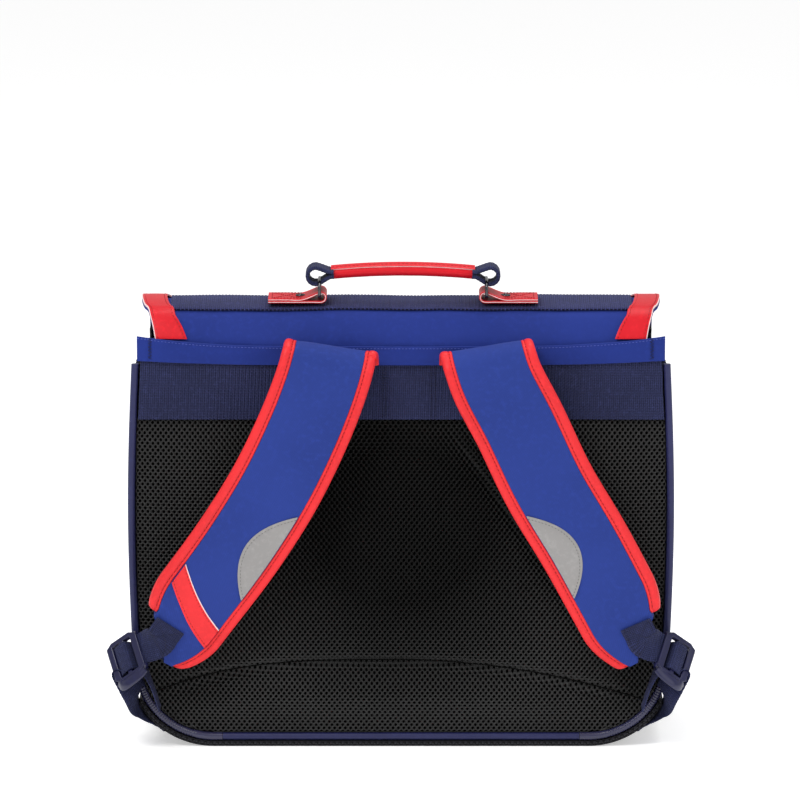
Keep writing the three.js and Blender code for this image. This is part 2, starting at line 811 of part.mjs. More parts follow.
function handleGrip() {
  const steps = 10;
  const sides = 10;
  const rings = [];
  for (let i = 0; i <= steps; i += 1) {
    const s = 2 * i / steps - 1;
    const z = gripCentreZ() - gripArch * s * s;
    const ring = [];
    for (let j = 0; j < sides; j += 1) {
      const angle = 2 * Math.PI * j / sides;
      const y = handleY + gripDepth / 2 * Math.cos(angle);
      ring.push(new THREE.Vector3(handleCentreX + s * gripLength / 2, y, z + gripHeight / 2 * Math.sin(angle)));
    }
    rings.push(ring);
  }
  addPiece('handle_grip', loft(rings), leather());
}

// One strap's centre line and cross directions, from its table
class StrapLine {
  constructor(side, sign) {
    const root = side === 'left' ? strapRootLeft : strapRootRight;
    const column = side === 'left' ? 'outLeft' : 'outRight';
    this.centre = columnCurve(strapRows, (row) => new THREE.Vector3(
      sign * (root + row[column] * (strapEnd - root)),
      backY - row.bow * strapBow,
      strapTop - row.down * strapDrop,
    ));
    this.pose = columnCurve(strapRows, (row) => new THREE.Vector3(row.tilt, row.turn, 10 * row.full));
    this.sign = sign;
    this.length = this.centre.getLength();
  }

  frame(share) {
    const t = this.centre.getUtoTmapping(THREE.MathUtils.clamp(share, 0, 1));
    const at = this.centre.getPoint(t);
    const tangent = this.centre.getTangent(t);
    const pose = this.pose.getPoint(t);
    const outwards = new THREE.Vector3(
      this.sign * Math.cos(radians(pose.x)), 0, Math.sin(radians(pose.x)));
    outwards.addScaledVector(tangent, -outwards.dot(tangent)).normalize();
    outwards.applyAxisAngle(tangent, this.sign * radians(pose.y));
    const normal = new THREE.Vector3().crossVectors(tangent, outwards).multiplyScalar(this.sign);
    return { at, tangent, outwards, normal, full: pose.z / 10 };
  }

  // A point so far out across the strap and so high over its middle layer
  point(share, across, lift) {
    const { at, outwards, normal, full } = this.frame(share);
    const height = lift > 0 ? strapThickness / 2 * full + lift : strapThickness / 2 * full * lift;
    return at.addScaledVector(outwards, across).addScaledVector(normal, height);
  }

  // The strap's end is cut at a slant, shorter on its outer side
  endShare(across) {
    return 1 - strapEndSlant * Math.max(0, across + strapEndPoint) / this.length;
  }

  // Half the strap's width on its outer side (1) or inner side (-1), less near the rounded end
  halfAt(share, sign) {
    const fromEnd = (1 - share) * this.length;
    const outerCut = strapEndSlant * (strapWidth / 2 + strapEndPoint);
    const [start, run, pull] = sign > 0 ? [outerCut, outerRound, outerPull] : [0, innerRound, innerPull];
    const left = THREE.MathUtils.clamp(1 - (fromEnd - start) / run, 0, 1);
    return strapWidth / 2 - pull * left * left;
  }

  // A place from -1 to 1 across the pad that lies inside both bindings
  insideAt(share, place) {
    const sign = place < 0 ? -1 : 1;
    return place * (this.halfAt(share, sign) - bindingWidth - 3 * clearance);
  }
}

function strapPad(side, line) {
  const half = strapWidth / 2 - bindingWidth - 2 * clearance;
  const pointAt = (u, v) => {
    const place = 2 * u - 1;
    const share = v * line.endShare(place * half);
    return line.point(share, line.insideAt(share, place), 1e-6);
  };
  const wall = (u, v) => -line.sign * strapThickness * line.frame(v * line.endShare(0)).full;
  addPiece(`shoulder_strap_${side}`, sheet(pointAt, 3, 30, wall), fabric(colours.blue));
}

function strapBinding(side, line, edge, sign) {
  const steps = 30;
  const end = line.endShare(sign * (strapWidth - bindingWidth) / 2);
  const section = [[0.6, -1], [1, -0.5], [1, 0.5], [0.6, 1], [-0.6, 1], [-1, 0.6], [-1, -0.6], [-0.6, -1]];
  const rings = [];
  for (let i = 0; i <= steps; i += 1) {
    const share = i / steps * end;
    const frame = line.frame(share);
    const across = sign * (line.halfAt(share, sign) - bindingWidth / 2);
    const half = bindingThickness / 2 * Math.min(1, frame.full);
    rings.push(section.map(([out, up]) => frame.at.clone()
      .addScaledVector(frame.outwards, across + out * bindingWidth / 2)
      .addScaledVector(frame.normal, up * half)));
  }
  addPiece(`strap_binding_${side}_${edge}`, loft(rings), leather());
}

// A grey half oval against the inner binding
function reflector(side, line) {
  const edge = -(strapWidth / 2 - bindingWidth - clearance);
  const fromEnd = side === 'left' ? reflectorFromEndLeft : reflectorFromEndRight;
  const centre = 1 - fromEnd / line.length;
  const pointAt = (u, v) => {
    const s = 2 * v - 1;
    const reach = 0.6 + reflectorWidth * Math.max(0, 1 - Math.abs(s) ** 2.4) ** 0.55;
    return line.point(centre + s * reflectorLength / 2 / line.length, edge + u * reach, clearance + patchWall);
  };
  addPiece(`reflector_${side}`, sheet(pointAt, 2, 12, () => -line.sign * patchWall), fabric(colours.grey));
}

// The leather strip across the left strap lies at a slant, like the cut end
function strapBand(line) {
  const half = strapWidth / 2 - bindingWidth - 2 * clearance;
  const pointAt = (u, v) => {
    const place = 2 * u - 1;
    const back = bandStripFromEnd + bandStripSlant * (place + 1) * half + v * bandStripWidth;
    const share = 1 - back / line.length;
    return line.point(share, line.insideAt(share, place), clearance + patchWall);
  };
  addPiece('strap_band', sheet(pointAt, 4, 3, () => line.sign * patchWall), leather());
}

// The buckle's own axes: along its length, along its bars and out of its face
function buckleFrame(sign) {
  const flow = new THREE.Vector3(sign * 0.74, 0.34, -0.58).normalize();
  const bar = new THREE.Vector3(sign * 0.19, 0.59, 0.79);
  bar.addScaledVector(flow, -bar.dot(flow)).normalize();
  const face = new THREE.Vector3().crossVectors(flow, bar).multiplyScalar(sign);
  const centre = new THREE.Vector3(sign * buckleOut, backY - buckleOffBack, buckleUp);
  return { flow, bar, face, centre };
}

function inBuckle(frame, along, out) {
  return frame.centre.clone().addScaledVector(frame.flow, along).addScaledVector(frame.face, out);
}

const slotStart = -buckleLength / 2 + tabBar;
const middleStart = slotStart + firstSlot;
const secondStart = middleStart + middleBar;
const endStart = secondStart + secondSlot;
const coverBottom = buckleThickness / 2 - coverThickness;
const tabBarTop = coverBottom - webbingWall - 2.5 * clearance;

// One body from plates that lie face to face
function fused(geometries) {
  const bodies = geometries.map((geometry) => {
    geometry.deleteAttribute('normal');
    geometry.deleteAttribute('uv');
    const merged = mergeVertices(geometry);
    return new wasm.Manifold(new wasm.Mesh({
      numProp: 3,
      vertProperties: new Float32Array(merged.getAttribute('position').array),
      triVerts: new Uint32Array(merged.index.array),
    }));
  });
  const mesh = bodies.reduce((whole, body) => whole.add(body)).getMesh();
  const geometry = new THREE.BufferGeometry();
  geometry.setAttribute('position', new THREE.BufferAttribute(mesh.vertProperties, 3));
  geometry.setIndex(new THREE.BufferAttribute(mesh.triVerts, 1));
  return geometry;
}

// A ladder lock: under its cover plate lies the thin bar that holds the strap's own webbing
function buckle(side, sign) {
  const frame = buckleFrame(sign);
  const half = buckleWidth / 2;
  const inner = half - buckleRail;
  const ends = buckleLength / 2;
  const blunt = 3;
  const tip = 0.8 * half;
  const start = [[-ends, -tip], [blunt - ends, -half], [ends - blunt, -half], [ends, -tip],
    [ends, tip], [ends - blunt, half], [blunt - ends, half], [-ends, tip]];
  const notch = inner - 2 * clearance;
  const notched = (depth) => [...start, [-ends, notch], [depth, notch], [depth, -notch], [-ends, -notch]]
    .map(([x, y]) => new THREE.Vector2(x, y));
  const solidOutline = start.map(([x, y]) => new THREE.Vector2(x, y));
  const first = rectangle(slotStart, middleStart, -inner, inner);
  const second = rectangle(secondStart, endStart, clearance - inner, inner - clearance);
  const layers = [
    [notched(slotStart - tabBarDepth), [first, second], -buckleThickness / 2, tabBarTop],
    [notched(middleStart), [second], tabBarTop, coverBottom],
    [solidOutline, [first, second], coverBottom, buckleThickness / 2],
  ];
  const geometry = fused(layers.map(([outline, openings, low, high]) => {
    const layer = plate(outline, openings.map((opening) => opening.map((point) => point.clone())), high - low);
    layer.translate(0, 0, (high + low) / 2);
    return layer;
  }));
  const bar = frame.bar.clone().multiplyScalar(sign);
  const place = new THREE.Matrix4().makeBasis(frame.flow, bar, frame.face);
  const holder = new THREE.Group();
  holder.quaternion.setFromRotationMatrix(place);
  holder.position.copy(frame.centre);
  bag.add(holder);
  addPiece(`buckle_${side}`, geometry, plastic(), holder);
}

// A width direction that turns evenly from each of a list of directions to the next
function turningSide(directions) {
  const spans = directions.length - 1;
  return (t) => {
    const before = Math.min(Math.floor(t * spans), spans - 1);
    return directions[before].clone().lerp(directions[before + 1], t * spans - before).normalize();
  };
}

// Webbing sewn on the strap's end, then round the bar under the buckle's cover and back
function strapTab(side, line) {
  const frame = buckleFrame(line.sign);
  const end = line.endShare(tabAside);
  const back = tabOnStrap / line.length;
  const lift = 5 * clearance + webbingWall / 2;
  const around = 1.5 * clearance + webbingWall / 2;
  const middle = tabBarTop + around;
  const under = -buckleThickness / 2 - around;
  const barMiddle = slotStart - tabBarDepth / 2;
  const mouth = -buckleLength / 2;
  const points = [
    line.point(end - back, tabAside, lift),
    line.point(end - back / 2, tabAside, lift),
    line.point(end, tabAside, lift),
    inBuckle(frame, mouth - 2, middle),
    inBuckle(frame, mouth + 1, middle),
    inBuckle(frame, barMiddle, middle),
    inBuckle(frame, slotStart + around, tabBarTop + clearance / 2),
    inBuckle(frame, slotStart + around, -buckleThickness / 2),
    inBuckle(frame, barMiddle, under),
    inBuckle(frame, mouth + 1, under),
    inBuckle(frame, mouth - 1, under + around),
  ];
  const sewn = line.frame(end);
  const onStrap = sewn.outwards.clone().addScaledVector(sewn.tangent, -tabSlant).normalize();
  const sides = points.map((point, i) => (i < 3 ? onStrap.clone() : frame.bar.clone()));
  const curve = new THREE.CatmullRomCurve3(points, false, 'centripetal');
  const geometry = ribbon(curve, turningSide(sides), webbingWidth, webbingWall, 33);
  addPiece(`strap_tab_${side}`, geometry, fabric(colours.navy));
}

// Webbing from the bottom corner up through the buckle, over its middle bar and out again
function adjuster(side, sign) {
  const frame = buckleFrame(sign);
  const outerFace = buckleThickness / 2 + clearance + webbingWall / 2;
  const around = clearance + webbingWall / 2;
  const bevel = around * 0.78;
  const corner = buckleThickness / 2 + bevel;
  const third = buckleThickness / 3;
  const seatRadius = guardRadius + 2 * clearance + baseSkin + webbingWall / 2;
  const seatY = backY + adjusterSetback;
  const onCorner = (angle) => {
    const point = besideRim(cornerStation(angle), seatRadius, seatY);
    point.x *= sign;
    return point;
  };
  const points = [
    onCorner(adjusterSeatAngle + 8),
    onCorner(adjusterSeatAngle),
    onCorner(adjusterSeatAngle - 12).add(new THREE.Vector3(sign * 1.5, -3, 0)),
    inBuckle(frame, endStart + endBar + 5, -outerFace - 9),
    inBuckle(frame, endStart + 1, -outerFace - 1.5),
    inBuckle(frame, secondStart + around + 1, -third - 1),
    inBuckle(frame, secondStart + around, third),
    inBuckle(frame, secondStart + bevel, corner),
    inBuckle(frame, secondStart - middleBar / 2, outerFace),
    inBuckle(frame, middleStart - bevel, corner),
    inBuckle(frame, middleStart - around, third),
    inBuckle(frame, middleStart - around, -third),
    inBuckle(frame, middleStart - around, -outerFace - 1),
    inBuckle(frame, middleStart, -outerFace - 6),
    new THREE.Vector3(sign * (tailOut + 6), backY - tailOffBack, tailUp + 18),
    new THREE.Vector3(sign * tailOut, backY - tailOffBack, tailUp),
  ];
  const deep = new THREE.Vector3(0, 1, 0);
  const sides = points.map((point, i) => (i < 3 || i > 13 ? deep.clone() : frame.bar.clone()));
  const curve = new THREE.CatmullRomCurve3(points, false, 'centripetal');
  const geometry = ribbon(curve, turningSide(sides), webbingWidth - 1, webbingWall, 42);
  addPiece(`adjuster_${side}`, geometry, fabric(colours.navy));
}

// A leather strap from the flap down over its lip to a plain clasp on the front
function closing(side, sign) {
  const x = sign * closingOffset;
  const outside = backY + flapDepth + clearance;
  const left = x - closingWidth / 2;
  const strap = plate(rectangle(left, left + closingWidth, closingBottom, closingTop), [], closingWall);
  strap.rotateX(Math.PI / 2);
  strap.translate(0, outside + closingWall / 2, 0);
  addPiece(`closing_strap_${side}`, strap, leather());
  const low = claspTop - claspHeight;
  const claspLeft = x - claspWidth / 2;
  const heights = [low, claspTop].flatMap((z) => [
    frontSurfaceY(claspLeft, z), frontSurfaceY(x, z), frontSurfaceY(claspLeft + claspWidth, z)]);
  const seat = Math.max(...heights) + clearance;
  const claspDepth = outside - clearance - seat;
  const clasp = plate(rectangle(claspLeft, claspLeft + claspWidth, low, claspTop), [], claspDepth);
  clasp.rotateX(Math.PI / 2);
  clasp.translate(0, seat + claspDepth / 2, 0);
  addPiece(`clasp_${side}`, clasp, metal());
}

backPanel();
backWebbing();
hemBand();
base();
frontPanel();
pipings();
flap();
topWebbing();
handleGrip();
for (const [side, sign] of [['left', -1], ['right', 1]]) {
  sideGusset(side, sign);
  topGusset(side, sign);
  flapTrim(side, sign);
  handleTab(side, sign);
  handleRivet(side, sign);
  handleRing(side, sign);
  handleLoop(side, sign);
  const line = new StrapLine(side, sign);
  strapPad(side, line);
  strapBinding(side, line, 'outer', 1);
  strapBinding(side, line, 'inner', -1);
  reflector(side, line);
  if (side === 'left') strapBand(line);
  strapTab(side, line);
  buckle(side, sign);
  adjuster(side, sign);
  closing(side, sign);
}

export default bag;
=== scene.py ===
# Finish of a school satchel-backpack that stands with its padded mesh back to the front.
# Lengths are millimetres until a mesh is made, and metres after that.
import json
import math
from contextlib import contextmanager

import bmesh
import bpy
from mathutils import Matrix, Vector, noise

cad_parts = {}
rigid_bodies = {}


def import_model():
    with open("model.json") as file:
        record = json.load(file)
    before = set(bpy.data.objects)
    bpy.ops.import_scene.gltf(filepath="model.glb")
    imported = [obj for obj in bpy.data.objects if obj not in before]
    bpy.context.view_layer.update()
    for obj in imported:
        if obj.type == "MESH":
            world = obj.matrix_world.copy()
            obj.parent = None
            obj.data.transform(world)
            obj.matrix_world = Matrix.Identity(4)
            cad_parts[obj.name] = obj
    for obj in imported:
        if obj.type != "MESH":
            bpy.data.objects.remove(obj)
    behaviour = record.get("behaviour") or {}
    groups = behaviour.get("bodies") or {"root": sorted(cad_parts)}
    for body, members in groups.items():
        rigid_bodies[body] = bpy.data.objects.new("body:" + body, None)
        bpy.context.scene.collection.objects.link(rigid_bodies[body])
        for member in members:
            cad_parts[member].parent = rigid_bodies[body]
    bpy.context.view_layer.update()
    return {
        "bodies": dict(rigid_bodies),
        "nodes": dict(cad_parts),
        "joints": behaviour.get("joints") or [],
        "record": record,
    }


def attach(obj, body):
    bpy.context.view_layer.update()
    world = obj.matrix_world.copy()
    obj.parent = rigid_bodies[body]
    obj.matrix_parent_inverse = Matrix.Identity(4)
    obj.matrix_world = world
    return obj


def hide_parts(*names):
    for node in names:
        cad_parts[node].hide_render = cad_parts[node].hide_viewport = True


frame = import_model()

MM = 0.001

# Fit
CLEARANCE = 0.3

# Body
BODY_WIDTH = 410
BODY_DEPTH = 165
BODY_TOP = 292
CORNER_RADIUS = 58
SIDE_BULGE = 3.3
PIPING_RADIUS = 2.75
GUARD_RADIUS = 3.1
GUARD_RUN = 6.4
GUARD_START_ANGLE = 20
BASE_START_ANGLE = 30
BASE_SKIN = 4
GUSSET_WALL = 2.5
GUSSET_SAG = 4
TOP_GUSSET_WALL = 1.5
TOP_GUSSET_HEIGHT = 36
TOP_GUSSET_LEAN = 11
FRONT_DROP = 14

# Back panel
PAD_DEPTH = 10
PAD_CROWN = 8
PAD_RECESS = 2.4
BAND_HEIGHT = 42
BAND_WALL = 1.8
HEM_HEIGHT = 19
HEM_LAP = 3
HEM_SAG_TOP = 8
HEM_SAG_BOTTOM = 3.5
HEM_WALL = 2.4
HEM_HALF_WIDTH = 197.3
HEM_TUCK_X = 187.5
BAR_TACK_X = (-13.5, -11.5, 22.5, 25.5)

# Folds in the padding: the lumbar seam, the slanting creases and the broad hollow
SEAM_HEIGHT = 65
SEAM_DROOP = {"left": (22, 178, 3.2), "right": (30, 180, 1.9)}
SEAM_DEPTH = 5.5
SEAM_SPREAD = 3.4
SEAM_DIP = 3.0
SEAM_DIP_SPREAD = 14
CREASE_TOP_X = 51
CREASE_TOP_Z = 223
CREASE_SLANT = 0.68
CREASE_DEPTH = 3.4
CREASE_SPREAD = 5
CREASE_ABOVE_SEAM = 20
CREASE_FADE = 40
HOLLOW_DEPTH = 2.0
HOLLOW_HEIGHT = 160
HOLLOW_SPREAD_X = 60
HOLLOW_SPREAD_Z = 55
LUMBAR_SWELL = 1.6

# Front
FRONT_WALL = 3
FRONT_BULGE = 5

# Flap
FLAP_HALF_WIDTH = 192.5
FLAP_RISE = 42
FLAP_OVERHANG = 9
FLAP_WALL = 2.4
FLAP_TRIM_WIDTH = 19
FLAP_TRIM_FLARE = 5
FLAP_TRIM_FLARE_RUN = 0.12
FLAP_TRIM_WALL = 1.5
TOP_BAND_WIDTH = 50
TOP_BAND_WALL = 1.8
TOP_BAND_SETBACK = 17

# Carrying handle
HANDLE_X = 1.5
HANDLE_SETBACK = 33
TAB_LENGTH = 44
TAB_BEFORE_RING = 1.2
TAB_DEPTH = 31
TAB_WALL = 1.8
TAB_LOOP_RADIUS = 4.4
RING_BEYOND_GRIP = 8.6
RING_HEIGHT = 15.4
RING_WIRE = 1.25
RING_SLACK = 3
RING_SQUARENESS = 0.5
LOOP_DEPTH = 22
LOOP_WALL = 3.2
LOOP_RADIUS = 7.8
LOOP_SHIFT = 0.6
GRIP_LENGTH = 108
GRIP_HEIGHT = 9.2
GRIP_DEPTH = 14
GRIP_ARCH = 2.6
GRIP_LIFT = 23.6
RIVET_RADIUS = 3.6
RIVET_HEIGHT = 1.4
RIVET_BEYOND_RING = 14.4

# Shoulder straps
STRAP_WIDTH = 70
STRAP_THICKNESS = 9
STRAP_TOP = 304.5
STRAP_DROP = 230
STRAP_BOW = 35
STRAP_END = 183.2
STRAP_ROOT = {"left": 51.5, "right": 63.5}
STRAP_END_SLANT = 0.7
STRAP_END_POINT = 12
OUTER_ROUND = 24
OUTER_PULL = 5
INNER_ROUND = 34
INNER_PULL = 13
BINDING_WIDTH = 9.2
BINDING_THICKNESS = 8
PATCH_WALL = 0.9
REFLECTOR_LENGTH = 74
REFLECTOR_WIDTH = 21.5
REFLECTOR_FROM_END = {"left": 111, "right": 103}
STRIP_WIDTH = 18
STRIP_FROM_END = 27
STRIP_SLANT = 0.56

# Strap ends, buckles and adjusters
WEBBING_WIDTH = 25
WEBBING_WALL = 1.4
TAB_ON_STRAP = 15
TAB_ASIDE = 7
TAB_SLANT = 0.6
BUCKLE_WIDTH = 34.6
BUCKLE_THICKNESS = 6
BUCKLE_RAIL = 3.7
TAB_BAR = 6
TAB_BAR_DEPTH = 2.8
COVER_THICKNESS = 1.8
FIRST_SLOT = 6.4
MIDDLE_BAR = 4
SECOND_SLOT = 7
END_BAR = 5
BUCKLE_OUT = 204.6
BUCKLE_UP = 72.6
BUCKLE_OFF_BACK = 21
ADJUSTER_SETBACK = 17
ADJUSTER_SEAT_ANGLE = 40
TAIL_OUT = 181
TAIL_UP = 33
TAIL_OFF_BACK = 19

# The way in which the buckle lies: along the webbing and along its bars, for the right side
BUCKLE_FLOW = (0.74, 0.34, -0.58)
BUCKLE_BAR = (0.19, 0.59, 0.79)

# The adjuster between the corner and the buckle, given point by point: out, from the back's rim, up
ADJUSTER_ROUTE = [(198.5, 0.5, 33), (199.3, -14.5, 43), (203, -19, 52)]

# Its cross direction at the last point of its seat and at those three, for the right side
ADJUSTER_TURNS = [(0.25, 0.93, 0.25), (0, 0.82, 0.57), (-0.55, 0.66, 0.51), (-0.65, 0.62, 0.43)]

# Front closing straps
CLOSING_OFFSET = 95
CLOSING_WIDTH = 25
CLOSING_WALL = 2
CLOSING_TOP = 165
CLOSING_BOTTOM = 46
CLASP_WIDTH = 36
CLASP_HEIGHT = 30
CLASP_TOP = 78

# Finish
CELL_PITCH = 4.0
CELL_ROW_PITCH = 2.6
HOLE_SHARE = 0.76
HOLE_NARROW = 0.62
HOLE_DEPTH = 1.5
STITCH_PITCH = 3.2
STITCH_LENGTH = 2.3
THREAD = 0.62
RIB_PITCH = 2.5
RIB_HEIGHT = 0.45
STEPS_PER_RIB = 6

# Places that follow from the sizes
BACK_Y = -BODY_DEPTH / 2
FRONT_Y = BODY_DEPTH / 2
RIM_HALF_WIDEST = BODY_WIDTH / 2 - PIPING_RADIUS
RIM_HALF_BASE = RIM_HALF_WIDEST - SIDE_BULGE
CORNER_X = RIM_HALF_BASE - CORNER_RADIUS
CORNER_Z = CORNER_RADIUS + GUARD_RADIUS + CLEARANCE + BASE_SKIN
SEAT_INSET = GUARD_RADIUS + CLEARANCE
PAD_EDGE_Y = BACK_Y + PAD_RECESS
GUSSET_Y = BACK_Y + 2 * PIPING_RADIUS + CLEARANCE
BAND_Y = PAD_EDGE_Y - CLEARANCE
HEM_Y = BAND_Y - BAND_WALL - CLEARANCE
BAND_BOTTOM = BODY_TOP - BAND_HEIGHT
HEM_BOTTOM = BODY_TOP + HEM_LAP
RING_OFFSET = GRIP_LENGTH / 2 + RING_BEYOND_GRIP
TAB_REACH = RING_OFFSET - TAB_BEFORE_RING - TAB_LOOP_RADIUS + TAB_LENGTH
RIVET_OFFSET = RING_OFFSET + RIVET_BEYOND_RING
FRONT_TOP_SHARE = 1 - FRONT_DROP / (BODY_TOP - CORNER_Z)
FLAP_DEPTH = BODY_DEPTH + FLAP_OVERHANG
HANDLE_Y = BACK_Y + HANDLE_SETBACK
BUCKLE_LENGTH = TAB_BAR + FIRST_SLOT + MIDDLE_BAR + SECOND_SLOT + END_BAR
SLOT_START = TAB_BAR - BUCKLE_LENGTH / 2
MIDDLE_START = SLOT_START + FIRST_SLOT
SECOND_START = MIDDLE_START + MIDDLE_BAR
END_START = SECOND_START + SECOND_SLOT
COVER_BOTTOM = BUCKLE_THICKNESS / 2 - COVER_THICKNESS
TAB_BAR_TOP = COVER_BOTTOM - WEBBING_WALL - 2.5 * CLEARANCE

# The flap's outer face from its root over the roof to its front lip: deep, high, wide
FLAP_ROWS = [
    (0.002, 0.02, 0.943),
    (0.004, 0.36, 0.952),
    (0.040, 0.66, 0.965),
    (0.072, 0.83, 0.976),
    (0.105, 0.91, 0.983),
    (0.150, 0.945, 0.998),
    (0.260, 0.975, 1.010),
    (0.385, 0.955, 1.014),
    (0.520, 0.865, 1.010),
    (0.690, 0.720, 1.003),
    (0.860, 0.500, 1.000),
    (0.952, 0.220, 1.000),
    (0.988, -0.20, 1.000),
    (0.997, -0.90, 1.002),
    (1.000, -2.20, 1.005),
    (0.990, -4.50, 1.008),
]

# Both straps over the roll to their cut end: down, out left, out right, bow, tilt, turn, full
STRAP_ROWS = [
    (0.046, 0.000, 0.000, 0.140, 5, 0, 0.28),
    (0.027, 0.000, 0.000, 0.220, 6, 0, 0.50),
    (0.007, 0.002, 0.000, 0.350, 7, 0, 0.80),
    (0.000, 0.010, 0.006, 0.520, 9, 0, 0.96),
    (0.019, 0.020, 0.020, 0.730, 12, 0, 1.00),
    (0.089, 0.056, 0.068, 0.860, 18, 0, 1.00),
    (0.228, 0.149, 0.208, 0.970, 23, 1, 1.00),
    (0.425, 0.314, 0.389, 1.000, 28, 3, 1.00),
    (0.625, 0.529, 0.614, 0.950, 33, 6, 1.00),
    (0.826, 0.783, 0.819, 0.840, 35, 10, 1.00),
    (0.974, 0.971, 0.969, 0.730, 36, 12, 1.00),
    (1.000, 1.000, 1.000, 0.710, 36, 12, 1.00),
]

# The photograph's framing
PHOTO_SIDE = 800
PIXEL = 0.748
PHOTO_CENTRE_X = 401
PHOTO_BASE_Y = 749
CAMERA_ELEVATION = 10
CAMERA_DISTANCE = 6.0
CAMERA_CLIP_END = 100
SENSOR = 36.0
WORLD_LIGHT = 0.55
FLOOR_GLOW = 0.42

X = Vector((1, 0, 0))
Y = Vector((0, 1, 0))
Z = Vector((0, 0, 1))
SIDES = (("left", -1), ("right", 1))


# Small sums

def lerp(a, b, share):
    return a + (b - a) * share


def clamp(value, low=0.0, high=1.0):
    return max(low, min(high, value))


def smoothstep(value, low, high):
    share = clamp((value - low) / (high - low))
    return share * share * (3 - 2 * share)


def bell(distance, spread):
    return math.exp(-((distance / spread) ** 2))


def even_shares(count):
    return [i / count for i in range(count + 1)]


def rolled_shares(count, edge):
    """Shares from 0 to 1 with one narrow step at each end, for a rolled edge."""
    inner = [edge + (1 - 2 * edge) * share for share in even_shares(count)]
    return [0.0, *inner, 1.0]


def linear(red, green, blue):
    """A colour for a shader from display values of 0 to 255."""
    def channel(value):
        share = value / 255
        if share <= 0.04045:
            return share / 12.92
        return ((share + 0.055) / 1.055) ** 2.4
    return (channel(red), channel(green), channel(blue), 1.0)


def ripple(place, size, height, seed=0.0):
    """A soft unevenness of the given size, the same in each run."""
    at = place / size + Vector((seed, 2 * seed, 3 * seed))
    return height * noise.noise(at)


class SmoothCurve:
    """A centripetal curve through points, read by span or by share of its length."""

    def __init__(self, points, divisions=200):
        self.points = points
        self.divisions = divisions
        self.lengths = [0.0]
        before = self.point(0)
        for i in range(1, divisions + 1):
            here = self.point(i / divisions)
            self.lengths.append(self.lengths[-1] + (here - before).length)
            before = here
        self.length = self.lengths[-1]

    def point(self, t):
        points = self.points
        place = clamp(t) * (len(points) - 1)
        start = min(int(place), len(points) - 2)
        weight = place - start
        second = points[start]
        third = points[start + 1]
        first = points[start - 1] if start > 0 else 2 * second - third
        fourth = points[start + 2] if start + 2 < len(points) else 2 * third - second
        gap = (third - second).length ** 0.5 or 1.0
        before = (second - first).length ** 0.5 or gap
        after = (fourth - third).length ** 0.5 or gap
        leave = (second - first) / before - (third - first) / (before + gap) + (third - second) / gap
        arrive = (third - second) / gap - (fourth - second) / (gap + after) + (fourth - third) / after
        leave *= gap
        arrive *= gap
        square = 3 * (third - second) - 2 * leave - arrive
        cube = 2 * (second - third) + leave + arrive
        return second + leave * weight + square * weight ** 2 + cube * weight ** 3

    def tangent(self, t):
        nudge = 1e-4
        ahead = self.point(min(t + nudge, 1))
        behind = self.point(max(t - nudge, 0))
        return (ahead - behind).normalized()

    def at_share(self, share):
        """The curve's own parameter at a share of its length."""
        target = clamp(share) * self.length
        low = 0
        high = self.divisions
        while high - low > 1:
            middle = (low + high) // 2
            if self.lengths[middle] <= target:
                low = middle
            else:
                high = middle
        span = self.lengths[high] - self.lengths[low]
        return (low + (target - self.lengths[low]) / (span or 1.0)) / self.divisions


# Bodies and pieces

def placed(name, data):
    """A new object in the scene, at the origin."""
    piece = bpy.data.objects.new(name, data)
    bpy.context.scene.collection.objects.link(piece)
    return piece


@contextmanager
def editing(mesh):
    """A mesh opened for changes, and written back after them."""
    editable = bmesh.new()
    editable.from_mesh(mesh)
    yield editable
    editable.to_mesh(mesh)
    editable.free()


class Body:
    """Points with faces, a place on the cloth for each face corner, and a kind for each face."""

    def __init__(self):
        self.points = []
        self.faces = []
        self.places = []
        self.kinds = []
        self.along = []

    def point(self, at, along=0.0):
        """Adds a point with its distance along a strip, and gives its number."""
        self.points.append(at)
        self.along.append(along)
        return len(self.points) - 1

    def face(self, corners, places, kind=0):
        self.faces.append(corners)
        self.places.append(places)
        self.kinds.append(kind)

    def add(self, other):
        start = len(self.points)
        self.points.extend(other.points)
        self.along.extend(other.along)
        for corners, places, kind in zip(other.faces, other.places, other.kinds):
            self.face([start + i for i in corners], places, kind)
        return self

    def piece(self, name, *materials, smooth_angle=38, turn_out=True):
        mesh = bpy.data.meshes.new(name)
        mesh.from_pydata([point * MM for point in self.points], [], self.faces)
        cloth = mesh.uv_layers.new(name="cloth")
        corner = 0
        for places in self.places:
            for place in places:
                cloth.data[corner].uv = (place[0] * MM, place[1] * MM)
                corner += 1
        along = mesh.attributes.new("along", "FLOAT", "POINT")
        along.data.foreach_set("value", [value * MM for value in self.along])
        for material in materials:
            mesh.materials.append(material)
        mesh.polygons.foreach_set("material_index", self.kinds)
        if turn_out:
            turn_faces_out(mesh)
        finish_shading(mesh, smooth_angle)
        return placed(name, mesh)


def turn_faces_out(mesh):
    with editing(mesh) as editable:
        bmesh.ops.recalc_face_normals(editable, faces=editable.faces)


def body_from(mesh, place_of, up_axis):
    """A body from a bmesh: its points where place_of puts them, its cloth on x and the up axis."""
    body = Body()
    mesh.verts.index_update()
    for vertex in mesh.verts:
        body.point(place_of(vertex.co))
    for polygon in mesh.faces:
        corners = [vertex.index for vertex in polygon.verts]
        body.face(corners, [(vertex.co.x, vertex.co[up_axis]) for vertex in polygon.verts])
    mesh.free()
    return body


def finish_shading(mesh, smooth_angle):
    mesh.polygons.foreach_set("use_smooth", [True] * len(mesh.polygons))
    mesh.set_sharp_from_angle(angle=math.radians(smooth_angle))


def grid_of(point_at, us, vs):
    return [[point_at(u, v) for u in us] for v in vs]


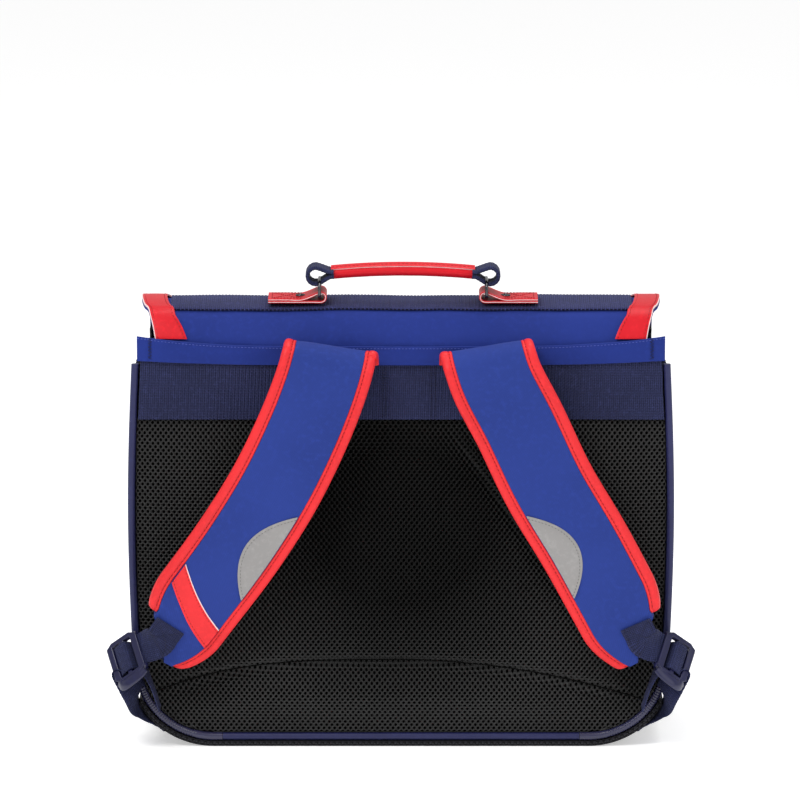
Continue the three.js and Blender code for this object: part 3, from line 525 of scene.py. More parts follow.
def grid_normals(rows, facing):
    normals = []
    for j, row in enumerate(rows):
        above = rows[min(j + 1, len(rows) - 1)]
        below = rows[max(j - 1, 0)]
        line = []
        for i in range(len(row)):
            across = row[min(i + 1, len(row) - 1)] - row[max(i - 1, 0)]
            up = above[i] - below[i]
            line.append((across.cross(up) * facing).normalized())
        normals.append(line)
    return normals


def walled(rows, wall, facing=1, roll=0.0, raw="", wall_at=None):
    """A closed wall under a grid of points. raw names the border that gets kind 1: high or last."""
    width = len(rows[0])
    height = len(rows)
    normals = grid_normals(rows, facing)
    body = Body()
    outer = []
    inner = []
    place = []
    for j, row in enumerate(rows):
        for i, at in enumerate(row):
            edge = i in (0, width - 1) or j in (0, height - 1)
            drop = roll if edge else 0.0
            depth = wall_at(i, j) if wall_at else wall
            outer.append(at - normals[j][i] * drop)
            inner.append(at - normals[j][i] * (depth - drop))
            u = place[-1][0] + (at - row[i - 1]).length if i else 0.0
            v = place[(j - 1) * width + i][1] + (at - rows[j - 1][i]).length if j else 0.0
            place.append((u, v))
    body.points = outer + inner
    body.along = [p[0] for p in place] * 2
    under = len(outer)

    def quad(a, b, c, d, kind=0):
        corners = [a, b, c, d]
        body.face(corners, [place[k % under] for k in corners], kind)

    high = int(raw == "high")
    last = int(raw == "last")
    for j in range(height - 1):
        for i in range(width - 1):
            a = j * width + i
            kind = int((high and j == height - 2) or (last and i == width - 2))
            quad(a, a + 1, a + 1 + width, a + width, kind)
            quad(under + a, under + a + width, under + a + 1 + width, under + a + 1)
    for i in range(width - 1):
        top = (height - 1) * width + i
        quad(i + 1, i, under + i, under + i + 1)
        quad(top, top + 1, under + top + 1, under + top, high)
    for j in range(height - 1):
        left = j * width
        right = left + width - 1
        quad(left, left + width, under + left + width, under + left)
        quad(right + width, right, under + right, under + right + width, last)
    return body


def swept(stations, section, kinds=None, joined=False):
    """A closed body: a section of (across, out) carried along stations of (place, side, up)."""
    body = Body()
    sides = len(section)
    girth = [0.0]
    for k in range(sides):
        a = Vector(section[k])
        b = Vector(section[(k + 1) % sides])
        girth.append(girth[-1] + (b - a).length)
    run = [0.0]
    for i, (place, side, up) in enumerate(stations):
        if i:
            run.append(run[-1] + (place - stations[i - 1][0]).length)
        for a, b in section:
            body.point(place + side * a + up * b, run[-1])
    spans = len(stations) if joined else len(stations) - 1
    for i in range(spans):
        here = i * sides
        after = ((i + 1) % len(stations)) * sides
        near = run[i]
        far = run[i + 1] if i + 1 < len(run) else near + (stations[0][0] - stations[i][0]).length
        for k in range(sides):
            m = (k + 1) % sides
            places = [(girth[k], near), (girth[k + 1], near), (girth[k + 1], far), (girth[k], far)]
            kind = kinds[k] if kinds else 0
            body.face([here + k, here + m, after + m, after + k], places, kind)
    if not joined:
        last = (len(stations) - 1) * sides
        flat = [tuple(point) for point in section]
        body.face(list(range(sides)), flat)
        body.face([last + k for k in range(sides)], flat)
    return body


def round_section(radius, sides, flatten=1.0):
    points = []
    for k in range(sides):
        angle = 2 * math.pi * (k + 0.5) / sides
        points.append((radius * math.cos(angle), radius * flatten * math.sin(angle)))
    return points


def strip_section(width, wall, across=6):
    """A flat strip with rounded edges, as (across, out) points round its section."""
    half = width / 2
    round_off = wall * 0.35
    top = [(lerp(-half + round_off, half - round_off, i / across), wall / 2) for i in range(across + 1)]
    points = [*top, (half, wall / 2 - round_off), (half, round_off - wall / 2)]
    points += [(a, -wall / 2) for a, b in reversed(top)]
    points += [(-half, round_off - wall / 2), (-half, wall / 2 - round_off)]
    return points


def stations_on(curve, spacing, side_at):
    """Stations along a curve, evenly spaced by length, with the strip's side across it."""
    count = max(2, round(curve.length / spacing))
    stations = []
    for share in even_shares(count):
        t = curve.at_share(share)
        tangent = curve.tangent(t)
        side = side_at(t)
        side = (side - tangent * side.dot(tangent)).normalized()
        stations.append((curve.point(t), side, tangent.cross(side)))
    return stations


def turning_side(directions):
    spans = len(directions) - 1

    def side_at(t):
        before = min(int(t * spans), spans - 1)
        return directions[before].lerp(directions[before + 1], t * spans - before).normalized()
    return side_at


def dress(piece, *nodes, slot):
    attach(piece, "root")
    if nodes:
        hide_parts(*nodes)
    return piece


# Node trees

def new_group(name, kind, inputs, outputs):
    """A node group with (name, socket type, default) inputs and (name, socket type) outputs."""
    group = bpy.data.node_groups.new(name, kind)
    for label, socket_type, default in inputs:
        socket = group.interface.new_socket(name=label, in_out="INPUT", socket_type=socket_type)
        if default is not None:
            socket.default_value = default
    for label, socket_type in outputs:
        group.interface.new_socket(name=label, in_out="OUTPUT", socket_type=socket_type)
    source = group.nodes.new("NodeGroupInput")
    result = group.nodes.new("NodeGroupOutput")
    return group, source, result


def feed(tree, value, socket):
    """Gives a socket a plain value or the output of another node."""
    if isinstance(value, bpy.types.NodeSocket):
        tree.links.new(value, socket)
    else:
        socket.default_value = value


def add_node(tree, kind, inputs=None, **settings):
    """A node with its settings, and with its inputs by their name or place."""
    node = tree.nodes.new(kind)
    for name, value in settings.items():
        setattr(node, name, value)
    for name, value in (inputs or {}).items():
        feed(tree, value, node.inputs[name])
    return node


def maths(tree, operation, *values):
    """The result of a Math node on outputs or plain numbers."""
    return add_node(tree, "ShaderNodeMath", dict(enumerate(values)), operation=operation).outputs[0]


def bumps(tree, turns):
    """A rounded bump from 0 to 1 for each whole turn."""
    return maths(tree, "ABSOLUTE", maths(tree, "SINE", maths(tree, "MULTIPLY", turns, math.pi)))


def spread(tree, value, low, high):
    """0 at the low value and 1 at the high one, with an even rise between them."""
    inputs = {"Value": value, "From Min": low, "From Max": high}
    return add_node(tree, "ShaderNodeMapRange", inputs).outputs[0]


def blend_colour(tree, share, first, second):
    """The first colour turning to the second as the share goes from 0 to 1."""
    share_place, first_place, second_place, colour_result = 0, 6, 7, 2
    inputs = {share_place: share, first_place: first, second_place: second}
    return add_node(tree, "ShaderNodeMix", inputs, data_type="RGBA").outputs[colour_result]


# Geometry trees

GEOMETRY = "NodeSocketGeometry"
NUMBER = "NodeSocketFloat"
MATERIAL = "NodeSocketMaterial"


def along_normal(tree, distance):
    """The surface's normal, made as long as the distance."""
    normal = add_node(tree, "GeometryNodeInputNormal")
    inputs = {0: normal.outputs[0], "Scale": distance}
    return add_node(tree, "ShaderNodeVectorMath", inputs, operation="SCALE").outputs[0]


def made_real(tree, geometry, material):
    """The geometry without instances, all of it in one material."""
    real = add_node(tree, "GeometryNodeRealizeInstances", {"Geometry": geometry})
    inputs = {"Geometry": real.outputs[0], "Material": material}
    return add_node(tree, "GeometryNodeSetMaterial", inputs).outputs[0]


def stitch_tree():
    """Thread stitches laid end to end along the edges of a mesh."""
    inputs = [
        ("Geometry", GEOMETRY, None),
        ("Pitch", NUMBER, STITCH_PITCH * MM),
        ("Length", NUMBER, STITCH_LENGTH * MM),
        ("Thread", NUMBER, THREAD * MM),
        ("Material", MATERIAL, None),
    ]
    tree, source, result = new_group("stitches", "GeometryNodeTree", inputs, [("Geometry", GEOMETRY)])
    given = source.outputs
    path = add_node(tree, "GeometryNodeMeshToCurve", {"Mesh": given["Geometry"]})
    spacing = {"Curve": path.outputs[0], "Length": given["Pitch"]}
    spaced = add_node(tree, "GeometryNodeResampleCurve", spacing, mode="LENGTH")
    thread = add_node(tree, "GeometryNodeMeshUVSphere", {"Segments": 6, "Rings": 4, "Radius": 0.5})
    tangent = add_node(tree, "GeometryNodeInputTangent")
    turn = add_node(tree, "FunctionNodeAlignRotationToVector", {"Vector": tangent.outputs[0]}, axis="Z")
    size = add_node(tree, "ShaderNodeCombineXYZ", {
        "X": given["Thread"],
        "Y": given["Thread"],
        "Z": given["Length"],
    })
    copies = add_node(tree, "GeometryNodeInstanceOnPoints", {
        "Points": spaced.outputs[0],
        "Instance": thread.outputs["Mesh"],
        "Rotation": turn.outputs[0],
        "Scale": size.outputs[0],
    })
    feed(tree, made_real(tree, copies.outputs[0], given["Material"]), result.inputs[0])
    return tree


def cell_tree():
    """Open cells knitted into the faces of a lattice."""
    inputs = [
        ("Geometry", GEOMETRY, None),
        ("Hole Share", NUMBER, HOLE_SHARE),
        ("Hole Depth", NUMBER, HOLE_DEPTH * MM),
        ("Thread", MATERIAL, None),
        ("Hole", MATERIAL, None),
    ]
    tree, source, result = new_group("open_cells", "GeometryNodeTree", inputs, [("Geometry", GEOMETRY)])
    given = source.outputs
    inset = add_node(tree, "GeometryNodeExtrudeMesh", {
        "Mesh": given["Geometry"],
        "Offset Scale": 0.0,
        "Individual": True,
    }, mode="FACES")
    top = inset.outputs["Top"]
    shrink = add_node(tree, "GeometryNodeScaleElements", {
        "Geometry": inset.outputs["Mesh"],
        "Selection": top,
        "Scale": given["Hole Share"],
    }, domain="FACE")
    narrow = add_node(tree, "GeometryNodeScaleElements", {
        "Geometry": shrink.outputs[0],
        "Selection": top,
        "Scale": HOLE_NARROW,
        "Axis": X,
    }, domain="FACE", scale_mode="SINGLE_AXIS")
    sink = add_node(tree, "GeometryNodeSetPosition", {
        "Geometry": narrow.outputs[0],
        "Selection": top,
        "Offset": along_normal(tree, maths(tree, "MULTIPLY", given["Hole Depth"], -1)),
    })
    holes = add_node(tree, "GeometryNodeSetMaterial", {
        "Geometry": made_real(tree, sink.outputs[0], given["Thread"]),
        "Selection": top,
        "Material": given["Hole"],
    })
    feed(tree, holes.outputs[0], result.inputs[0])
    return tree


def rib_tree():
    """Ribs raised across a strip, by the distance along it that each point carries."""
    inputs = [
        ("Geometry", GEOMETRY, None),
        ("Pitch", NUMBER, RIB_PITCH * MM),
        ("Height", NUMBER, RIB_HEIGHT * MM),
        ("Material", MATERIAL, None),
    ]
    tree, source, result = new_group("webbing_ribs", "GeometryNodeTree", inputs, [("Geometry", GEOMETRY)])
    given = source.outputs
    along = add_node(tree, "GeometryNodeInputNamedAttribute", {"Name": "along"}, data_type="FLOAT")
    wave = bumps(tree, maths(tree, "DIVIDE", along.outputs["Attribute"], given["Pitch"]))
    drop = maths(tree, "MULTIPLY", maths(tree, "SUBTRACT", wave, 1), given["Height"])
    inputs = {"Geometry": given["Geometry"], "Offset": along_normal(tree, drop)}
    move = add_node(tree, "GeometryNodeSetPosition", inputs)
    feed(tree, made_real(tree, move.outputs[0], given["Material"]), result.inputs[0])
    return tree


def grown(piece, tree, values):
    """The piece's mesh as the tree makes it, with the tree's named inputs set first."""
    modifier = piece.modifiers.new(tree.name, "NODES")
    modifier.node_group = tree
    for item in tree.interface.items_tree:
        if item.in_out == "INPUT" and item.name in values:
            modifier[item.identifier] = values[item.name]
    bpy.context.view_layer.update()
    graph = bpy.context.evaluated_depsgraph_get()
    mesh = bpy.data.meshes.new_from_object(piece.evaluated_get(graph), depsgraph=graph)
    piece.modifiers.remove(modifier)
    rough = piece.data
    piece.data = mesh
    bpy.data.meshes.remove(rough)
    mesh.name = piece.name
    return piece


STITCHES = stitch_tree()
CELLS = cell_tree()
RIBS = rib_tree()


def stitched(name, paths, thread, slot, pitch=STITCH_PITCH, length=STITCH_LENGTH, size=THREAD):
    """Stitches along several paths of points, as one piece."""
    points = []
    edges = []
    for path in paths:
        start = len(points)
        points.extend(point * MM for point in path)
        edges.extend((start + i, start + i + 1) for i in range(len(path) - 1))
    mesh = bpy.data.meshes.new(name)
    mesh.from_pydata(points, edges, [])
    piece = placed(name, mesh)
    values = {"Pitch": pitch * MM, "Length": length * MM, "Thread": size * MM, "Material": thread}
    grown(piece, STITCHES, values)
    finish_shading(piece.data, 60)
    return dress(piece, slot=slot)


def ribbed(body, name, material, pitch=RIB_PITCH, height=RIB_HEIGHT):
    piece = body.piece(name, material)
    grown(piece, RIBS, {"Pitch": pitch * MM, "Height": height * MM, "Material": material})
    finish_shading(piece.data, 60)
    return piece


# Shader groups

VECTOR = "NodeSocketVector"
COLOUR = "NodeSocketColor"
DRIFT_SPAN = (0.35, 0.65)
SPECK_SPAN = (0.5, 0.75)


def weave_group():
    """Crossing threads on a piece's own cloth places: a height and a mask of the upper threads."""
    inputs = [("Place", VECTOR, None), ("Across", NUMBER, None), ("Along", NUMBER, None)]
    outputs = [("Height", NUMBER), ("Upper", NUMBER)]
    tree, source, result = new_group("weave", "ShaderNodeTree", inputs, outputs)
    given = source.outputs
    split = add_node(tree, "ShaderNodeSeparateXYZ", {0: given["Place"]})
    u = maths(tree, "DIVIDE", split.outputs[0], given["Across"])
    v = maths(tree, "DIVIDE", split.outputs[1], given["Along"])
    steps = maths(tree, "ADD", maths(tree, "FLOOR", u), maths(tree, "FLOOR", v))
    upper = maths(tree, "ABSOLUTE", maths(tree, "MODULO", steps, 2))
    over = maths(tree, "MULTIPLY", upper, bumps(tree, u))
    under = maths(tree, "MULTIPLY", maths(tree, "SUBTRACT", 1, upper), bumps(tree, v))
    feed(tree, maths(tree, "ADD", over, under), result.inputs["Height"])
    feed(tree, upper, result.inputs["Upper"])
    return tree


def grain_group():
    """Fine pebbles and pores of imitation leather or moulded plastic."""
    inputs = [("Place", VECTOR, None), ("Scale", NUMBER, None)]
    tree, source, result = new_group("grain", "ShaderNodeTree", inputs, [("Height", NUMBER)])
    given = source.outputs
    pebble = {"Vector": given["Place"], "Scale": given["Scale"]}
    pebbles = add_node(tree, "ShaderNodeTexVoronoi", pebble, feature="SMOOTH_F1")
    finer = maths(tree, "MULTIPLY", given["Scale"], 2)
    pores = add_node(tree, "ShaderNodeTexNoise", {"Vector": given["Place"], "Scale": finer, "Detail": 3})
    total = maths(tree, "ADD", pebbles.outputs["Distance"], pores.outputs[0])
    feed(tree, total, result.inputs["Height"])
    return tree


def wear_group():
    """Uneven dye and handling: a colour that drifts between three tones."""
    inputs = [
        ("Place", VECTOR, None),
        ("Scale", NUMBER, 14.0),
        ("Deep", COLOUR, None),
        ("Middle", COLOUR, None),
        ("Light", COLOUR, None),
    ]
    tree, source, result = new_group("wear", "ShaderNodeTree", inputs, [("Color", COLOUR)])
    given = source.outputs
    place = given["Place"]
    finer = maths(tree, "MULTIPLY", given["Scale"], 20)
    broad = add_node(tree, "ShaderNodeTexNoise", {"Vector": place, "Scale": given["Scale"], "Detail": 2})
    fine = add_node(tree, "ShaderNodeTexNoise", {"Vector": place, "Scale": finer, "Detail": 5})
    drift = spread(tree, broad.outputs[0], *DRIFT_SPAN)
    speck = spread(tree, fine.outputs[0], *SPECK_SPAN)
    base = blend_colour(tree, drift, given["Deep"], given["Middle"])
    feed(tree, blend_colour(tree, speck, base, given["Light"]), result.inputs["Color"])
    return tree


WEAVE = weave_group()
GRAIN = grain_group()
WEAR = wear_group()


# Materials

def tone(colour, share):
    """A deeper or lighter tone of a colour."""
    return tuple(channel * share for channel in colour[:3]) + (1.0,)


class Finish:
    """One material: a Principled surface with its colour drift and its bump."""

    def __init__(self, name, colour, roughness, deep, light, metallic=0.0):
        self.material = bpy.data.materials.new(name)
        self.material.use_nodes = True
        self.tree = self.material.node_tree
        self.surface = self.tree.nodes["Principled BSDF"]
        self.set(Roughness=roughness, Metallic=metallic)
        self.object_place = add_node(self.tree, "ShaderNodeTexCoord").outputs["Object"]
        self.cloth_place = add_node(self.tree, "ShaderNodeUVMap", uv_map="cloth").outputs[0]
        self.plain_colour = colour
        drift = self.group(WEAR, {
            "Place": self.object_place,
            "Deep": tone(colour, deep),
            "Middle": tone(colour, 1.0),
            "Light": tone(colour, light),
        })
        self.recolour(drift.outputs["Color"])

    def set(self, **values):
        for name, value in values.items():
            self.surface.inputs[name.replace("_", " ")].default_value = value

    def group(self, tree, inputs):
        return add_node(self.tree, "ShaderNodeGroup", inputs, node_tree=tree)

    def recolour(self, colour):
        self.colour = colour
        feed(self.tree, colour, self.surface.inputs["Base Color"])

    def darken(self, share, depth):
        """Turns to a deep tone of the plain colour where the share is high."""
        deep = tone(self.plain_colour, depth)
        self.recolour(blend_colour(self.tree, share, self.colour, deep))

    def bump(self, height, depth):
        relief = add_node(self.tree, "ShaderNodeBump", {"Height": height, "Distance": depth * MM})
        feed(self.tree, relief.outputs[0], self.surface.inputs["Normal"])

    def weave(self, across, along):
        """The weave's outputs, for threads of a pitch across and along the cloth."""
        inputs = {"Place": self.cloth_place, "Across": across * MM, "Along": along * MM}
        return self.group(WEAVE, inputs).outputs

    def grain(self, scale, depth):
        grain = self.group(GRAIN, {"Place": self.object_place, "Scale": scale})
        self.bump(grain.outputs["Height"], depth)


def woven(name, colour, pitch, depth, contrast=0.25, dark=0.55):
    finish = Finish(name, colour, 0.8, deep=0.86, light=1.06)
    weave = finish.weave(pitch, pitch)
    finish.darken(maths(finish.tree, "MULTIPLY", weave["Upper"], contrast), dark)
    finish.bump(weave["Height"], depth)
    finish.set(Specular_IOR_Level=0.1, Sheen_Weight=0.03, Sheen_Roughness=0.5)
    return finish.material


def webbing_finish(name, colour):
    """Short knitted loops in each rib, staggered from rib to rib, with painted shade in the grooves
    between them.
    """
    loop_length = 1.5
    contrast = 1.1
    finish = Finish(name, colour, 0.7, deep=0.75, light=1.3)
    weave = finish.weave(loop_length, RIB_PITCH / 2)
    low = maths(finish.tree, "SUBTRACT", 1, weave["Height"])
    # Painted shade: the low places between the loops are darkened.
    finish.darken(maths(finish.tree, "MULTIPLY", low, contrast), 0.15)
    finish.bump(weave["Height"], 0.3)
    finish.set(Specular_IOR_Level=0.15, Sheen_Weight=0.03, Sheen_Roughness=0.5)
    return finish.material


def leather_finish(name, colour, roughness=0.38, scale=900.0):
    finish = Finish(name, colour, roughness, deep=0.9, light=1.1)
    finish.set(Specular_IOR_Level=0.15)
    finish.grain(scale, 0.06)
    return finish.material


def mesh_finish(name, colour):
    """Knitted mesh, with painted shade that darkens it in a broad round patch in the middle of the back.
    """
    painted_shade_height = 170
    painted_shade_edge = 150
    painted_shade_full = 60
    finish = Finish(name, colour, 0.65, deep=0.9, light=1.2)
    tree = finish.tree
    on_the_back = {0: finish.object_place, 1: (1, 0, 1)}
    flat = add_node(tree, "ShaderNodeVectorMath", on_the_back, operation="MULTIPLY")
    from_middle = {0: flat.outputs[0], 1: Z * painted_shade_height * MM}
    away = add_node(tree, "ShaderNodeVectorMath", from_middle, operation="DISTANCE")
    # Painted shade: the thread colour turns darker towards a point 170 mm up in the middle of the back,
    # fully within 60 mm of it.
    finish.darken(spread(tree, away.outputs["Value"], painted_shade_edge * MM, painted_shade_full * MM), 0.12)
    finish.grain(1500.0, 0.08)
    finish.set(Specular_IOR_Level=0.2)
    return finish.material


def plain_finish(name, colour, roughness, metallic=0.0, scale=500.0, depth=0.03, shine=0.3):
    finish = Finish(name, colour, roughness, deep=0.85, light=1.15, metallic=metallic)
    finish.set(Specular_IOR_Level=shine)
    finish.grain(scale, depth)
    return finish.material


BLUE = linear(35, 52, 128)
STRAP_BLUE = linear(43, 62, 138)
NAVY = linear(40, 44, 78)
PIPING_NAVY = linear(37, 40, 81)
PLASTIC_NAVY = linear(25, 26, 62)
RED = linear(200, 24, 36)
BINDING_RED = linear(220, 48, 52)
MESH_GREY = linear(54, 54, 54)
GREY = linear(140, 138, 137)
RAW_EDGE = linear(226, 200, 200)

blue_cloth = woven("blue_cloth", BLUE, 0.6, 0.04)
strap_cloth = woven("strap_cloth", STRAP_BLUE, 0.8, 0.07)
navy_cloth = woven("navy_cloth", NAVY, 0.9, 0.08)
black_cloth = woven("black_cloth", linear(38, 38, 44), 2.2, 0.5, contrast=1.0, dark=0.2)
navy_webbing = webbing_finish("navy_webbing", linear(46, 51, 90))
top_webbing_cloth = webbing_finish("top_webbing_cloth", linear(58, 62, 112))
mesh_thread = mesh_finish("mesh_thread", MESH_GREY)
# Near black without shine for the bottoms of the holes: partly the dark layer under the mesh, partly
# painted shade inside the holes.
mesh_hole = plain_finish("mesh_hole", linear(4, 4, 4), 1.0, shine=0.0)
red_leather = leather_finish("red_leather", RED)
binding_leather = leather_finish("binding_leather", BINDING_RED, 0.42, 700)
raw_edge = plain_finish("raw_edge", RAW_EDGE, 0.8)
vinyl = plain_finish("piping_vinyl", PIPING_NAVY, 0.4)
navy_plastic = plain_finish("moulded_navy", PLASTIC_NAVY, 0.28, shine=0.45)
guard_plastic = plain_finish("guard_plastic", linear(44, 44, 74), 0.25, shine=0.6)
gunmetal = plain_finish("gunmetal", linear(84, 84, 88), 0.25, metallic=1.0)
reflective = plain_finish("reflective_grey", GREY, 0.55, scale=1400, depth=0.1)
blue_thread = plain_finish("blue_thread", linear(74, 88, 170), 0.6)
red_thread = plain_finish("red_thread", linear(160, 18, 28), 0.5)
navy_thread = plain_finish("navy_thread", linear(26, 28, 58), 0.6)
grey_thread = plain_finish("grey_thread", linear(100, 98, 96), 0.6)
dark_thread = plain_finish("dark_thread", linear(52, 52, 54), 0.6)
black_thread = plain_finish("black_thread", linear(6, 6, 6), 0.9, shine=0.1)


# The rim of the body

def rim_half_at(z):
    share = (z - CORNER_Z) / (BODY_TOP - CORNER_Z)
    return RIM_HALF_BASE + SIDE_BULGE * math.sin(math.pi * clamp(share))


def side_station(share):
    z = CORNER_Z + share * (BODY_TOP - CORNER_Z)
    return (rim_half_at(z), z, 1.0, 0.0)


def corner_station(angle):
    out_x = math.cos(math.radians(angle))
    out_z = -math.sin(math.radians(angle))
    return (CORNER_X + CORNER_RADIUS * out_x, CORNER_Z + CORNER_RADIUS * out_z, out_x, out_z)


def bottom_station(x):
    return (x, CORNER_Z - CORNER_RADIUS, 0.0, -1.0)


def mirrored(station):
    x, z, out_x, out_z = station
    return (-x, z, -out_x, out_z)


def side_stations(steps, top_share=1.0):
    return [side_station(top_share * i / steps) for i in range(steps, 0, -1)]


def corner_stations(start, end, step=3):
    count = round((end - start) / step)
    return [corner_station(lerp(start, end, i / count)) for i in range(count + 1)]


def whole_rim(half_rim):
    return [*half_rim, *[mirrored(station) for station in reversed(half_rim)]]


def beside_rim(station, outwards, y):
    x, z, out_x, out_z = station
    return Vector((x + out_x * outwards, y, z + out_z * outwards))


def rim_stations(rim, y):
    """Stations for a tube on the rim: its side points outwards and its up points to the back."""
    stations = []
    for station in rim:
        out = Vector((station[2], 0, station[3]))
        stations.append((beside_rim(station, 0, y), out, -Y))
    return stations


# Back panel

def panel_edge(z):
    """Half the width of the mesh panel at a height."""
    if z >= CORNER_Z:
        return rim_half_at(z) - SEAT_INSET
    radius = CORNER_RADIUS - SEAT_INSET
    fall = min(CORNER_Z - z, radius)
    return CORNER_X + math.sqrt(radius ** 2 - fall ** 2)


def seam_height(x):
    """Height of the lumbar seam: level in the middle and drooping to both sides."""
    drop, reach, bend = SEAM_DROOP["left" if x < 0 else "right"]
    return SEAM_HEIGHT - drop * (abs(x) / reach) ** bend


def crease_x(z):
    """How far out each slanting crease lies at a height."""
    return CREASE_TOP_X + CREASE_SLANT * (CREASE_TOP_Z - z)


def pad_out(x, z):
    """How far the padded back stands out from its flat edge."""
    u = clamp(x / panel_edge(z), -1, 1)
    across = 1 - u ** 4
    fade = smoothstep(BAND_BOTTOM - z, 0, 0.14 * BAND_BOTTOM)
    low = smoothstep(z, CORNER_Z - CORNER_RADIUS, CORNER_Z - 0.35 * CORNER_RADIUS)
    below = seam_height(x) - z
    seam = SEAM_DEPTH * bell(below, SEAM_SPREAD) + SEAM_DIP * bell(below, SEAM_DIP_SPREAD)
    crease_end = seam_height(x) + CREASE_ABOVE_SEAM
    creases = CREASE_DEPTH * bell(abs(x) - crease_x(z), CREASE_SPREAD)
    creases *= smoothstep(z, crease_end, crease_end + CREASE_FADE)
    hollow = HOLLOW_DEPTH * bell(x, HOLLOW_SPREAD_X) * bell(z - HOLLOW_HEIGHT, HOLLOW_SPREAD_Z)
    lumbar = LUMBAR_SWELL * smoothstep(below, 4, 26)
    soft = ripple(Vector((x, 0, z)), 45, 1.2)
    out = across * (PAD_CROWN + lumbar) + across * soft
    out -= (seam + creases + hollow) * min(1, 2 * across)
    return fade * low * max(0, out)


def on_pad(x, z, lift=0.0):
    return Vector((x, PAD_EDGE_Y - pad_out(x, z) - lift, z))


def mesh_lattice(keep):
    """The hexagons of the spacer mesh whose middles pass a test, cut off at the panel's outline."""
    low = CORNER_Z - CORNER_RADIUS + SEAT_INSET
    rows = int((BODY_TOP - low) / CELL_ROW_PITCH) + 1
    columns = int(RIM_HALF_WIDEST / CELL_PITCH) + 1
    over_edge = 0.3
    shortest_side = 0.2
    corners = {}
    body = Body()

    def corner(key):
        """key counts half columns and thirds of a row."""
        if key not in corners:
            z = clamp(low + key[1] * CELL_ROW_PITCH / 3, low, BODY_TOP)
            edge = panel_edge(z)
            x = clamp(key[0] * CELL_PITCH / 2, -edge, edge)
            corners[key] = body.point(on_pad(x, z))
        return corners[key]

    for row in range(rows + 1):
        z = low + row * CELL_ROW_PITCH
        edge = panel_edge(clamp(z, low, BODY_TOP))
        for column in range(-columns, columns + 1):
            half = 2 * column + row % 2
            x = half * CELL_PITCH / 2
            past_side = abs(x) > edge + over_edge * CELL_PITCH
            past_top = z > BODY_TOP + over_edge * CELL_ROW_PITCH
            if past_side or past_top or not keep(x, z):
                continue
            third = 3 * row
            keys = [
                (half, third - 2), (half + 1, third - 1), (half + 1, third + 1),
                (half, third + 2), (half - 1, third + 1), (half - 1, third - 1),
            ]
            ring = []
            for key in keys:
                index = corner(key)
                spot = body.points[index]
                if all((spot - body.points[other]).length > shortest_side for other in ring):
                    ring.append(index)
            if len(ring) > 2:
                body.face(ring, [(body.points[k].x, body.points[k].z) for k in ring])
    return body


def padded_back():
    """Knitted spacer mesh over the foam, above and below the lumbar seam."""
    def above(x, z):
        return z > seam_height(x)

    def below(x, z):
        return z <= seam_height(x)

    pieces = []
    for name, keep in (("back_mesh_upper", above), ("back_mesh_lower", below)):
        body = mesh_lattice(keep)
        piece = body.piece(name, mesh_thread, turn_out=False)
        face_backwards(piece.data)
        grown(piece, CELLS, {"Thread": mesh_thread, "Hole": mesh_hole})
        close_behind(piece.data)
        finish_shading(piece.data, 70)
        pieces.append(piece)
    upper, lower = pieces
    dress(upper, "back_panel", slot="spacer_mesh")
    dress(lower, "back_panel", slot="spacer_mesh")
    seam = []
    seam_reach = 186
    above_fold = 1.5
    for share in even_shares(100):
        x = lerp(-seam_reach, seam_reach, share)
        seam.append(on_pad(x, seam_height(x) + above_fold, 0.3))
    stitched("lumbar_seam_stitches", [seam], black_thread, "spacer_mesh", pitch=2.2, length=2.4, size=1.1)


def face_backwards(mesh):
    """Turns the faces of an open sheet so that they all point to the wearer's side."""
    with editing(mesh) as editable:
        for face in editable.faces:
            if face.normal.y > 0:
                face.normal_flip()


def close_behind(mesh):
    """Carries the border of an open sheet back to the foam's flat rear face."""
    with editing(mesh) as editable:
        border = [edge for edge in editable.edges if edge.is_boundary]
        carried = bmesh.ops.extrude_edge_only(editable, edges=border)["geom"]
        for part in carried:
            if isinstance(part, bmesh.types.BMVert):
                part.co.y = (PAD_EDGE_Y + PAD_DEPTH) * MM
        rear = [part for part in carried if isinstance(part, bmesh.types.BMEdge)]
        bmesh.ops.edgeloop_fill(editable, edges=[edge for edge in rear if edge.is_boundary])
        bmesh.ops.recalc_face_normals(editable, faces=editable.faces)


def back_webbing():
    """The broad webbing across the top of the mesh, with its bar tacks."""
    steps = round(2 * RIM_HALF_WIDEST / RIB_PITCH) * STEPS_PER_RIB
    raised = 0.4

    def point_at(u, v):
        z = BAND_BOTTOM + v * (BAND_HEIGHT + HEM_LAP)
        half = rim_half_at(z) - SEAT_INSET - CLEARANCE
        x = (2 * u - 1) * half
        bulge = ripple(Vector((x, 0, z)), 40, 0.8)
        return Vector((x, BAND_Y - BAND_WALL - raised - bulge, z))

    rows = grid_of(point_at, even_shares(steps), even_shares(8))
    body = walled(rows, BAND_WALL + CLEARANCE, facing=1, roll=0.4)
    dress(ribbed(body, "back_webbing_cloth", navy_webbing), "back_webbing", slot="navy_webbing")
    tacks = []
    tack_start = BAND_BOTTOM + 3
    tack_length = 36
    for x in BAR_TACK_X:
        y = BAND_Y - BAND_WALL - raised - 0.2
        tacks.append([Vector((x, y, tack_start + up)) for up in range(tack_length)])
    stitched("bar_tacks", tacks, navy_thread, "navy_webbing", pitch=2.0, length=1.5, size=0.7)


def hem_surface(x, z, lift=0.0):
    """The blue band over the flap's seam, with soft lengthwise folds and a tuck near each end."""
    share = (z - hem_low_edge(x)) / (hem_high_edge(x) - hem_low_edge(x))
    folds = ripple(Vector((x * 0.35, 0, z * 1.6)), 14, 0.9)
    tuck = 1.1 * bell(abs(x) - HEM_TUCK_X, 1.6)
    swell = 0.8 * math.sin(math.pi * clamp(share))
    return Vector((x, HEM_Y - HEM_WALL - swell - folds * 0.7 + tuck - lift, z))


